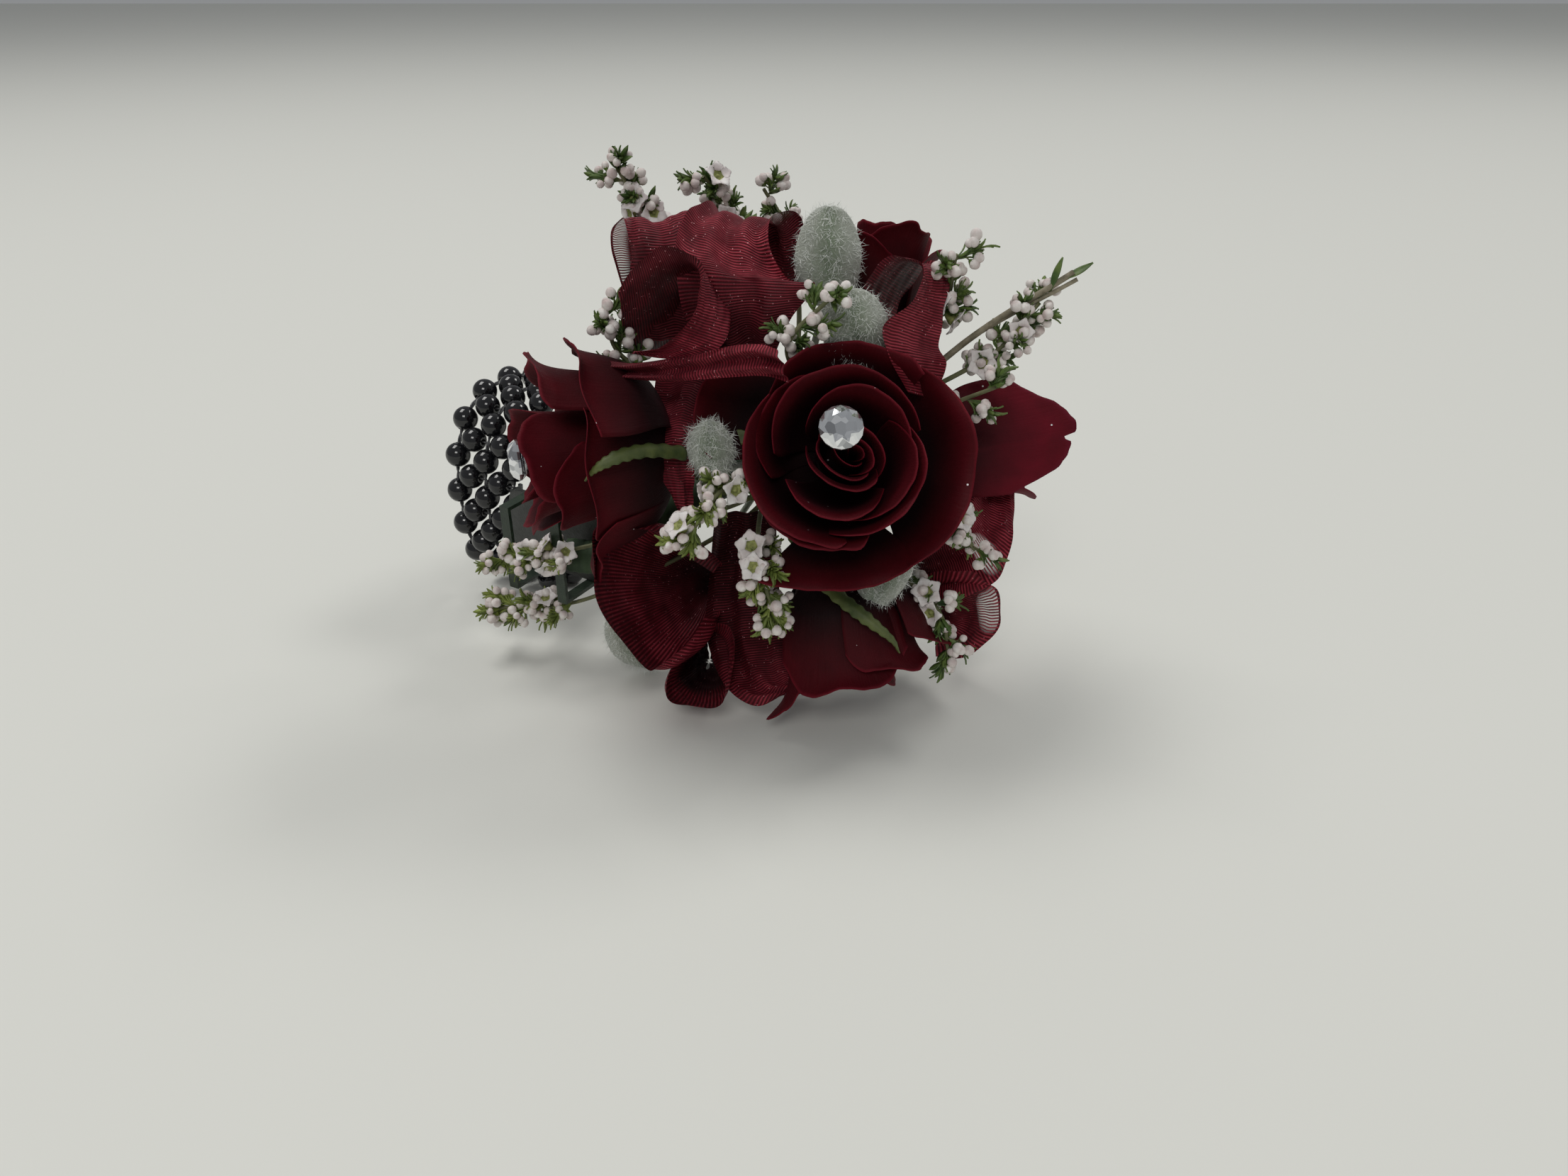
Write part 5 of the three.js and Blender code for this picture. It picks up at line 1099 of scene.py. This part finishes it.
def make_leaves(settings):
    """Soft leaves: a rounded blade whose half width is a power of a sine along its length, thick in the
    middle, folded down along the midrib and rolled at its edge, with short white hairs all over."""
    rng = np.random.default_rng(SEED + 1)
    for name, spec in LEAVES.items():
        along = unit(spec["along"])
        toward = unit(LEAF_FACE - along * (LEAF_FACE @ along))
        across = np.cross(along, toward)
        place = np.array(spec["place"], float)
        u, v = grid(25, 41)
        side = 2 * u - 1
        half = spec["width"] / 2 * np.sin(np.pi * np.clip(v, 0.002, 0.998)) ** spec["blunt"] \
            * (0.9 + 0.1 * np.sin(np.pi * v))
        cup = -1.4 * side ** 2 - 0.5 * np.exp(-(side / 0.2) ** 2) + 0.35 * np.sin(v * 11 + side * 3)
        rise = (v - 0.5) * spec["length"]
        surface = place + across * (side * half)[..., None] + along * rise[..., None] \
            + toward * (cup + 0.8 * np.sin(np.pi * v) + 0.6)[..., None]
        thick = 1.7 * (1 - np.abs(side) ** 4) * np.sin(np.pi * np.clip(v, 0.06, 0.94)) + 0.35
        form = Form()
        shell(form, surface, thick, np.stack([side, v], axis=-1))
        foot = place - along * (spec["length"] / 2 - 1.5)
        halfway = (HUB + foot) / 2 + spec.get("sag", (0, 0, 0))
        pipe(form, spline([HUB, halfway, foot], np.linspace(0, 1, 20)), 0.9, 8)
        count = HAIRS
        pick = rng.integers(0, u.size, count)
        out = normals(surface).reshape(-1, 3)[pick] * np.where(rng.random(count) < 0.5, 1, -1)[:, None]
        root = surface.reshape(-1, 3)[pick] + out * thick.reshape(-1)[pick][:, None] / 2 \
            + rng.normal(0, 0.22, (count, 3))
        lean = unit(out * rng.uniform(0.15, 0.8, (count, 1)) + rng.normal(0, 0.6, (count, 3)))
        tip = root + lean * rng.uniform(0.9, 2.9, (count, 1))
        wide = unit(np.cross(lean, out + 1e-3)) * settings.hair_width / MM
        hairs = np.stack([root - wide, root + wide, tip], axis=1).reshape(-1, 3)
        form.add(hairs, np.arange(count * 3).reshape(-1, 3), slot=1)
        piece = form.build(f"{name}_felt", [finish("felt"), finish("hair")])
        register_piece(piece, "spray", "felt_leaf", name)


# Sprigs

def bud_shape():
    """A round bud: a lathe profile slightly drawn out to a tip. Returns points and quads."""
    arc = np.linspace(0, np.pi, 9)
    radius = np.sin(arc) * (1 + 0.1 * np.cos(arc))
    return lathe(np.stack([radius, -np.cos(arc) + 0.95], axis=1), 10)


def bud_cup_shape():
    """The small green cup under a bud. Returns points and quads."""
    return lathe([(0, -0.5), (0.25, -0.4), (0.62, 0.05), (0.86, 0.45), (0.7, 0.5), (0, 0.2)], 8)


def needle_shape():
    """A narrow curved blade of four cells along z. Returns points and quads."""
    v = np.linspace(0, 1, 5)
    half = 0.17 * np.sin(np.pi * (0.12 + 0.86 * v)) ** 0.7
    middle = np.stack([np.zeros(5), 0.16 * np.sin(v * 2.2), v], axis=-1)
    side = np.stack([half, np.zeros(5), np.zeros(5)], axis=-1)
    keel = np.stack([np.zeros(5), -0.09 * np.ones(5), np.zeros(5)], axis=-1)
    ring = np.stack([middle - side, middle + keel, middle + side], axis=0)
    return ring.reshape(-1, 3), cells(3, 5, wrap=True)[:, ::-1]


def cup_shape():
    """An open flower: five rounded petals spread round a green bowl. Returns petals' and bowl's points
    and faces."""
    form = Form()
    u, v = grid(7, 6)
    side = 2 * u - 1
    out = 0.34 + 0.66 * v * (1 - 0.35 * np.abs(side) ** 3)
    across = side * 0.42 * np.sin(np.pi * (0.22 + 0.62 * v))
    lift = 0.28 + 0.34 * v - 0.22 * v ** 3 + 0.08 * side ** 2
    for k in range(5):
        local = np.stack([*turned(out, across, k / 5 * 2 * np.pi), lift], axis=-1)
        shell(form, local, 0.06, np.stack([u, v], axis=-1))
    petals = np.concatenate(form.points), np.concatenate(form.faces)
    bowl = lathe([(0, -0.45), (0.22, -0.35), (0.42, 0.1), (0.42, 0.32), (0.3, 0.26), (0.2, 0.14),
                  (0.1, 0.3), (0, 0.34)], 10)
    return petals, bowl


# The stem's route from the hub, the usual count of buds and the open flowers
SPRIGS = {
    "sprig_top_left": ([(-16, 34, 86), (-33, 36, 112), (-41, 31, 127)], 34, 4),
    "sprig_top": ([(-6, 36, 92), (-14, 38, 116), (-20, 32, 125)], 30, 3),
    "sprig_top_right": ([(4, 32, 90), (0, 36, 112), (-5, 32, 122)], 14, 0),
    "sprig_left_upper": ([(-20, 2, 78), (-38, -2, 90), (-41, -5, 102)], 26, 1),
    "sprig_middle": ([(3, 0, 82), (1, -16, 98), (11, -20, 110)], 22, 0),
    "sprig_right_upper": ([(16, 6, 76), (36, 2, 98), (39, -2, 114)], 26, 2),
    "sprig_right": ([(18, 2, 72), (48, -2, 90), (59, -2, 103)], 34, 2),
    "sprig_right_middle": ([(14, 0, 64), (35, -9, 79), (48, -17, 88)], 18, 0),
    "sprig_right_low": ([(14, 0, 55), (35, -15, 60), (46, -20, 48)], 26, 2),
    "sprig_front_left": ([(-6, -2, 62), (-14, -34, 70), (-22, -40, 60)], 26, 3),
    "sprig_front_low": ([(-5, 0, 53), (-6, -30, 52), (-2, -35, 38)], 34, 2),
    "sprig_low_left_upper": ([(-10, 4, 50), (-50, 2, 38), (-76, 5, 32)], 34, 4),
    "sprig_low_left": ([(-10, 6, 44), (-52, 6, 20), (-80, 10, 14)], 34, 1),
    "sprig_low_right": ([(10, 2, 46), (36, -20, 34), (41, -25, 22)], 30, 2),
}


# Sprigs whose needles are young and yellower, and stand closer
FRESH = ("sprig_front_left", "sprig_front_low", "sprig_low_left_upper", "sprig_low_left")
GOLDEN_ANGLE = 2.4


def add_twigs(form, root, axis, rng, settings):
    """Side twigs of one sprig, turned by the golden angle. Returns each twig's direction and tip."""
    count = len(root)
    spin = np.arange(count) * GOLDEN_ANGLE + rng.uniform(-0.3, 0.3, count)
    aim = unit(turns_to(axis, spin)[:, :, 0] * rng.uniform(0.6, 1.1, (count, 1))
               + axis * rng.uniform(0.6, 1.3, (count, 1)))
    reach = rng.uniform(2.5, settings.twig_reach / MM, (count, 1))
    branch = lathe([(0, 0), (0.05, 0), (0.035, 1), (0, 1)], 5)
    scatter(form, *branch, root, turns_to(aim, spin), reach[:, 0], 0)
    return aim, root + aim * reach


def add_buds(form, root, aim, tip, buds, rng, settings):
    """Round buds in green cups, on short stalks round the side twigs."""
    own = np.arange(buds) % len(root)
    point = root[own] + (tip - root)[own] * rng.uniform(0.35, 1.05, (buds, 1))
    spin = np.arange(buds) * GOLDEN_ANGLE + rng.uniform(-0.3, 0.3, buds)
    out = turns_to(aim[own], spin)[:, :, 0]
    head = point + out * rng.uniform(0.9, 2.1, (buds, 1)) + aim[own] * rng.uniform(0.2, 0.9, (buds, 1))
    size = rng.uniform(0.78, 1.18, buds) * settings.bud_size / MM / 2
    turns = turns_to(unit(head - point + 0.3 * aim[own]), spin)
    scatter(form, *bud_shape(), head, turns, size, 1)
    scatter(form, *bud_cup_shape(), head, turns, size, 2)
    stalk = lathe([(0, 0), (0.09, 0), (0.07, 1), (0, 1)], 5)
    scatter(form, *stalk, point, turns_to(head - point, spin), np.linalg.norm(head - point, axis=1), 0)


def add_needles(form, root, aim, tip, needles, rng):
    """Needle leaves that lean outwards and forwards from the side twigs."""
    own = np.arange(needles) % len(root)
    point = root[own] + (tip - root)[own] * rng.uniform(0.1, 1.15, (needles, 1))
    spin = np.arange(needles) * GOLDEN_ANGLE
    out = turns_to(aim[own], spin)[:, :, 0]
    lean = unit(out * rng.uniform(0.4, 1.0, (needles, 1))
                + aim[own] * rng.uniform(0.6, 1.2, (needles, 1)))
    scatter(form, *needle_shape(), point + out * 0.2, turns_to(lean, spin + 1.57),
            rng.uniform(2.4, 4.4, needles), 2)


def add_flowers(form, point, axis, rng, settings):
    """Open flowers on the stem, turned towards the front and away from the stem."""
    count = len(point)
    out = unit(np.array([0.0, -0.8, 0.6]) + rng.normal(0, 0.5, (count, 3)))
    out = unit(out - axis * np.sum(out * axis, axis=1, keepdims=True) * 0.6)
    head = point + out * rng.uniform(2.6, 3.8, (count, 1))
    turns = turns_to(out, rng.uniform(0, 6.28, count))
    size = rng.uniform(0.9, 1.12, count) * settings.flower_size / MM / 2
    petals, bowl = cup_shape()
    scatter(form, *petals, head, turns, size, 3)
    scatter(form, *bowl, head, turns, size, 4)


def make_sprigs(settings):
    """Each sprig: a curved stem, then over its last two fifths side twigs with buds and needle leaves,
    and a few open flowers."""
    for number, (name, (route, buds, flowers)) in enumerate(SPRIGS.items()):
        buds = int(buds * settings.bud_share)
        rng = np.random.default_rng(SEED + 10 + number)
        form = Form()
        route = [HUB, *np.array(route, float)]
        t = np.linspace(0, 1, 60)
        line = spline(route, t)
        pipe(form, line, 0.8 - 0.35 * t, 7)
        run = walked(line)
        total = run[-1]
        span = min(settings.sprig_span / MM, total * 0.42)

        def stem_at(distance):
            """Point and direction of the stem at distances from the hub."""
            share = np.interp(distance, run, t)
            return spline(route, share), unit(spline(route, np.minimum(share + 0.01, 1))
                                              - spline(route, np.maximum(share - 0.01, 0)))

        twigs = max(4, buds // 7)
        root, axis = stem_at(total - span * (1 - (np.arange(twigs) + 0.6) / twigs))
        aim, tip = add_twigs(form, root, axis, rng, settings)
        add_buds(form, root, aim, tip, buds, rng, settings)
        add_needles(form, root, aim, tip, buds * (5 if name in FRESH else 3), rng)
        if flowers:
            add_flowers(form, *stem_at(total - span * rng.uniform(0.1, 0.85, flowers)), rng, settings)
        green = finish("needle_fresh" if name in FRESH else "needle")
        piece = form.build(f"{name}_bloom", [finish("stem"), finish("bud"), green, finish("cup"),
                                             finish("centre")])
        register_piece(piece, "spray", "sprig", name)


def make_cut_twig():
    """A bare twig cut off at its end, with a side shoot and two small leaves whose half width is a power
    of a sine along their length."""
    form = Form()
    t = np.linspace(0, 1, 60)
    line = spline([HUB, (20, 6, 70.0), (44, 0, 94.0), (66, -2, 110.0)], t)
    pipe(form, line, 0.95 - 0.25 * t, 9)
    pipe(form, line[38:] + np.linspace([0, 0, 0], [1.0, 0, -1.6], 22), 0.5, 7)
    u, v = grid(7, 16)
    side = 2 * u - 1
    half = 0.13 * np.sin(np.pi * (0.06 + 0.92 * v)) ** 0.9
    leaf = np.stack([side * half, 0.1 * v * v + 0.03 * side ** 2, v], axis=-1)
    for root, aim, size in (((61, -2, 106), (0.2, 0, 1), 7.5), ((64, -2, 108.5), (0.9, 0, 0.45), 7.0)):
        turn = turns_to(np.array([aim], float), np.array([0.6]))[0]
        shell(form, leaf * size @ turn.T + np.array(root, float), 0.25, np.stack([u, v], axis=-1), 1)
    piece = form.build("cut_twig_bark", [finish("twig"), finish("needle")])
    register_piece(piece, "spray", "twig", "cut_twig")


# Pins, bundle and clip

def brilliant(size, height, table):
    """A round brilliant: rings of points for the table, star, girdle and pavilion, with every other
    ring turned by half a step so that the facets are triangles. Returns points and faces."""
    steps = 8

    def ring(radius, level, shift, count=steps):
        """Points round a circle, the first turned by shift steps."""
        turn = (np.arange(count) + shift) * (2 * np.pi / count)
        return np.stack([np.cos(turn) * radius, np.sin(turn) * radius, np.full(count, level)], axis=1)

    half = size / 2
    points = np.concatenate([
        ring(table / 2, height / 2, 0), ring((table / 2 + half) * 0.52, height * 0.36, 0.5),
        ring(half, height * 0.1, 0, 16), ring(half, -height * 0.02, 0, 16),
        ring(half * 0.45, -height * 0.4, 0.5), [[0, 0, height / 2]], [[0, 0, -height / 2]]])
    k = np.arange(steps)
    n = (k + 1) % steps
    table_ring, star, crown, girdle, pavilion = k, 8 + k, 16, 32, 48 + k
    table_next, pavilion_next = n, 48 + n
    top, tip = np.full(steps, 56), np.full(steps, 57)
    two, three, four = 2 * k, 2 * k + 1, (2 * k + 2) % 16
    j = np.arange(16)
    after = (j + 1) % 16
    facets = [
        (top, table_ring, table_next), (table_ring, star, table_next), (table_ring, crown + two, star),
        (star, crown + four, table_next), (star, crown + two, crown + three),
        (star, crown + three, crown + four), (girdle + two, pavilion, girdle + three),
        (girdle + three, pavilion, girdle + four), (girdle + four, pavilion, pavilion_next),
        (pavilion, tip, pavilion_next), (crown + j, girdle + j, girdle + after),
        (crown + j, girdle + after, crown + after)]
    return points, np.concatenate([np.stack(facet, axis=1) for facet in facets])


PINS = (("front_pin", "front_gem", (12, -38, 86.5), (0.02, -0.8, 0.6)),
        ("left_pin", "left_gem", (-62, -16.5, 70), (-0.94, -0.3, 0.0)))


def make_pins(settings):
    """Each pin: a cut stone in a shallow metal cup, on a straight shank with a sharp end."""
    size, height, table = settings.gem_size / MM, 5.0, 5.4
    for node, body, place, aim in PINS:
        turn = facing(aim)
        place = np.array(place, float)
        form = Form()
        points, faces = brilliant(size, height, table)
        form.add(points @ turn.T + place, faces)
        stone = form.build(f"{node}_stone", [finish("stone")], flat=True)
        form = Form()
        points, faces = lathe([(0, -2.75), (2.0, -2.75), (size / 2 * 0.8, -1.0), (size / 2 * 0.86, -0.9),
                               (2.1, -2.4), (0, -2.4)], 24)
        form.add(points @ turn.T + place, faces)
        line = place - turn[:, 2] * np.array([2.5, 12, 24, 33, 36.5])[:, None]
        pipe(form, line, np.array([0.55, 0.55, 0.55, 0.5, 0.05]), 10)
        shank = form.build(f"{node}_shank", [finish("steel")])
        register_piece(stone, body, "gem", node)
        register_piece(shank, body, "gem")


def make_bundle():
    """The taped bundle of stems: a tube along its spline whose radius steps with each lap of the tape,
    swelling to the knob that the flowers are gathered on. The clip and ties keep their solids."""
    form = Form()
    lowest = np.array(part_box("stem_bundle")[0]) / MM - ORIGIN
    start = np.array([max(-58.0, lowest[0] + 1), 6.5, 32.67])
    t = np.linspace(0, 1, 90)
    line = spline([start, (-46.0, 6.0, 33.5), (-28, 11, 46.0), HUB], t)
    radius = 4.4 + 0.25 * np.mod(t * TAPE_LAPS, 1.0)
    radius[0] = 0.5
    pipe(form, line, radius, 20)
    arc = np.linspace(0, np.pi, 14)
    points, faces = lathe(KNOB_RADIUS * np.stack([np.sin(arc), -np.cos(arc)], axis=1), 24)
    form.add(points + HUB, faces)
    piece = form.build("stem_bundle_tape", [finish("tape")])
    register_piece(piece, "spray", "tape", "stem_bundle")
    for node, name in (("clip_plate", "clip"), ("tie_upper", "wire"), ("tie_lower", "wire")):
        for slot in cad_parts[node].material_slots:
            slot.material = finish(name)


# Stage

CAMERA_PLACE = (0, -262.0, 175.0)
CAMERA_PITCH = 29.6
FLOOR_HALF = 4.0
# Name, place, share of the main lamp's power and width
LAMPS = (("key", (-0.9, 0.5, 2.2), 1.0, 1.3), ("window", (1.4, 0.9, 1.9), 0.55, 0.8),
         ("front", (-0.2, -1.8, 1.7), 0.55, 0.9))


def make_stage(settings):
    """A pale floor, soft lamps and the camera."""
    half = FLOOR_HALF
    mesh = bpy.data.meshes.new("floor")
    mesh.from_pydata([(-half, -half, 0), (half, -half, 0), (half, half, 0), (-half, half, 0)], [],
                     [(0, 1, 2, 3)])
    material, _, shader = finish_of("floor_pale", 0.6, Specular_IOR_Level=0.2)
    put(shader, Base_Color=(*settings.floor_colour, 1))
    mesh.materials.append(material)
    new_object("floor", mesh)
    world = bpy.data.worlds.new("studio")
    bpy.context.scene.world = world
    world.use_nodes = True
    put(world.node_tree.nodes["Background"], Color=(0.86, 0.88, 0.9, 1), Strength=settings.fill_light)
    for name, place, share, wide in LAMPS:
        lamp = bpy.data.lights.new(name, "AREA")
        lamp.energy = settings.key_light * share
        lamp.shape = "RECTANGLE"
        lamp.size = wide
        lamp.size_y = wide * 0.7
        lamp.color = (1.0, 0.985, 0.96)
        matrix = np.eye(4)
        matrix[:3, :3] = facing(np.array(place) - np.array([0, 0, 0.05]))
        matrix[:3, 3] = place
        new_object(name, lamp).matrix_world = Matrix(matrix.tolist())
    camera = bpy.data.cameras.new("camera")
    camera.lens = settings.lens
    camera.sensor_width = 36.0
    camera.clip_start = 0.01
    holder = new_object("camera", camera)
    holder.location = [value * MM for value in (np.array(CAMERA_PLACE) + ORIGIN)]
    holder.rotation_euler = (math.radians(90 - CAMERA_PITCH), 0, 0)
    bpy.context.scene.camera = holder
    bpy.context.scene.view_settings.view_transform = "Standard"


# Settings that a user would change

def length_setting(name, description, default):
    """A setting in metres."""
    return bpy.props.FloatProperty(name=name, description=description, default=default, unit="LENGTH")


class CorsageBand(bpy.types.PropertyGroup):
    """Sizes of the bead band."""
    bead_size: length_setting("Bead size", "Diameter of a bead", 0.0072)
    bead_pitch: length_setting("Bead pitch", "Step of the weave along the band", 0.01075)


class CorsageFlowers(bpy.types.PropertyGroup):
    """Sizes of petals, leaves, buds and pins."""
    petal_thickness: length_setting("Petal thickness", "Thickness at the base", 0.0005)
    hair_width: length_setting("Hair width", "Half width of a leaf hair's root", 0.00006)
    bud_size: length_setting("Bud size", "Diameter of a middling bud", 0.0024)
    twig_reach: length_setting("Side twig", "Length of the longest side twig", 0.0065)
    bud_share: bpy.props.FloatProperty(name="Bud share", description="Buds on a sprig over the usual count",
                                       default=1.9)
    flower_size: length_setting("Open flower size", "Width of an open flower", 0.0072)
    sprig_span: length_setting("Sprig span", "Length of stem that carries buds", 0.024)
    gem_size: length_setting("Stone size", "Diameter of the pins' stones", 0.0096)


class CorsageRibbon(bpy.types.PropertyGroup):
    """The ribbon's width and weave."""
    ribbon_width: length_setting("Ribbon width", "Width from edge to edge", 0.038)
    rib_pitch: length_setting("Rib pitch", "From one cross rib to the next", 0.0007)
    ribbon_gap: bpy.props.FloatProperty(name="Thread cover in gaps",
                                        description="How much the thinnest places still cover",
                                        default=0.2, min=0.0, max=1.0, subtype="FACTOR")


class CorsageStage(bpy.types.PropertyGroup):
    """Floor, lamps and lens."""
    floor_colour: bpy.props.FloatVectorProperty(name="Floor colour", description="Colour of the floor",
                                                default=(0.75, 0.755, 0.71), subtype="COLOR", size=3)
    key_light: bpy.props.FloatProperty(name="Main lamp", description="Power of the main lamp", default=22.0,
                                       unit="POWER")
    fill_light: bpy.props.FloatProperty(name="Fill", description="Strength of the even light",
                                        default=0.3)
    lens: bpy.props.FloatProperty(name="Lens", description="Focal length in millimetres", default=26.04)


class CORSAGE_OT_band(bpy.types.Operator):
    """Makes the four lengths of the bead band"""
    bl_idname = "corsage.band"
    bl_label = "Bead band"

    def execute(self, context):
        make_band(context.scene.corsage_band)
        return {"FINISHED"}


class CORSAGE_OT_roses(bpy.types.Operator):
    """Makes the five roses"""
    bl_idname = "corsage.roses"
    bl_label = "Roses"

    def execute(self, context):
        for name in ROSES:
            make_rose(name, context.scene.corsage_flowers)
        return {"FINISHED"}


class CORSAGE_OT_ribbons(bpy.types.Operator):
    """Makes the ribbon loops and tails"""
    bl_idname = "corsage.ribbons"
    bl_label = "Ribbons"

    def execute(self, context):
        make_ribbons(context.scene.corsage_ribbon)
        return {"FINISHED"}


class CORSAGE_OT_leaves(bpy.types.Operator):
    """Makes the soft leaves"""
    bl_idname = "corsage.leaves"
    bl_label = "Leaves"

    def execute(self, context):
        make_leaves(context.scene.corsage_flowers)
        return {"FINISHED"}


class CORSAGE_OT_sprigs(bpy.types.Operator):
    """Makes the flower sprigs and the cut twig"""
    bl_idname = "corsage.sprigs"
    bl_label = "Sprigs"

    def execute(self, context):
        make_sprigs(context.scene.corsage_flowers)
        make_cut_twig()
        return {"FINISHED"}


class CORSAGE_OT_pins(bpy.types.Operator):
    """Makes the pins with their cut stones"""
    bl_idname = "corsage.pins"
    bl_label = "Pins"

    def execute(self, context):
        make_pins(context.scene.corsage_flowers)
        return {"FINISHED"}


class CORSAGE_OT_bundle(bpy.types.Operator):
    """Makes the taped bundle and finishes the clip"""
    bl_idname = "corsage.bundle"
    bl_label = "Bundle and clip"

    def execute(self, context):
        make_bundle()
        return {"FINISHED"}


class CORSAGE_OT_stage(bpy.types.Operator):
    """Makes the floor, the lamps and the camera"""
    bl_idname = "corsage.stage"
    bl_label = "Stage"

    def execute(self, context):
        make_stage(context.scene.corsage_stage)
        return {"FINISHED"}


OPERATORS = (CORSAGE_OT_stage, CORSAGE_OT_band, CORSAGE_OT_roses, CORSAGE_OT_ribbons, CORSAGE_OT_leaves,
             CORSAGE_OT_sprigs, CORSAGE_OT_pins, CORSAGE_OT_bundle)


class CORSAGE_PT_panel(bpy.types.Panel):
    """Lists the pieces and their settings"""
    bl_idname = "CORSAGE_PT_panel"
    bl_label = "Wrist corsage"
    bl_space_type = "VIEW_3D"
    bl_region_type = "UI"
    bl_category = "Corsage"

    def draw(self, context):
        for name in GROUPS:
            settings = getattr(context.scene, name)
            for key in settings.__annotations__:
                self.layout.prop(settings, key)
        for operator in OPERATORS:
            self.layout.operator(operator.bl_idname)


GROUPS = {"corsage_band": CorsageBand, "corsage_flowers": CorsageFlowers,
          "corsage_ribbon": CorsageRibbon, "corsage_stage": CorsageStage}


def register():
    """Registers the classes and their settings."""
    for item in (*GROUPS.values(), *OPERATORS, CORSAGE_PT_panel):
        bpy.utils.register_class(item)
    for name, item in GROUPS.items():
        setattr(bpy.types.Scene, name, bpy.props.PointerProperty(type=item))


def unregister():
    """Removes the settings and the classes."""
    for name in GROUPS:
        delattr(bpy.types.Scene, name)
    for item in (CORSAGE_PT_panel, *reversed(OPERATORS), *reversed(GROUPS.values())):
        bpy.utils.unregister_class(item)


def main():
    """Builds every piece."""
    register()
    bpy.ops.corsage.stage()
    bpy.ops.corsage.band()
    bpy.ops.corsage.roses()
    bpy.ops.corsage.ribbons()
    bpy.ops.corsage.leaves()
    bpy.ops.corsage.sprigs()
    bpy.ops.corsage.pins()
    bpy.ops.corsage.bundle()


if __name__ == "__main__":
    main()
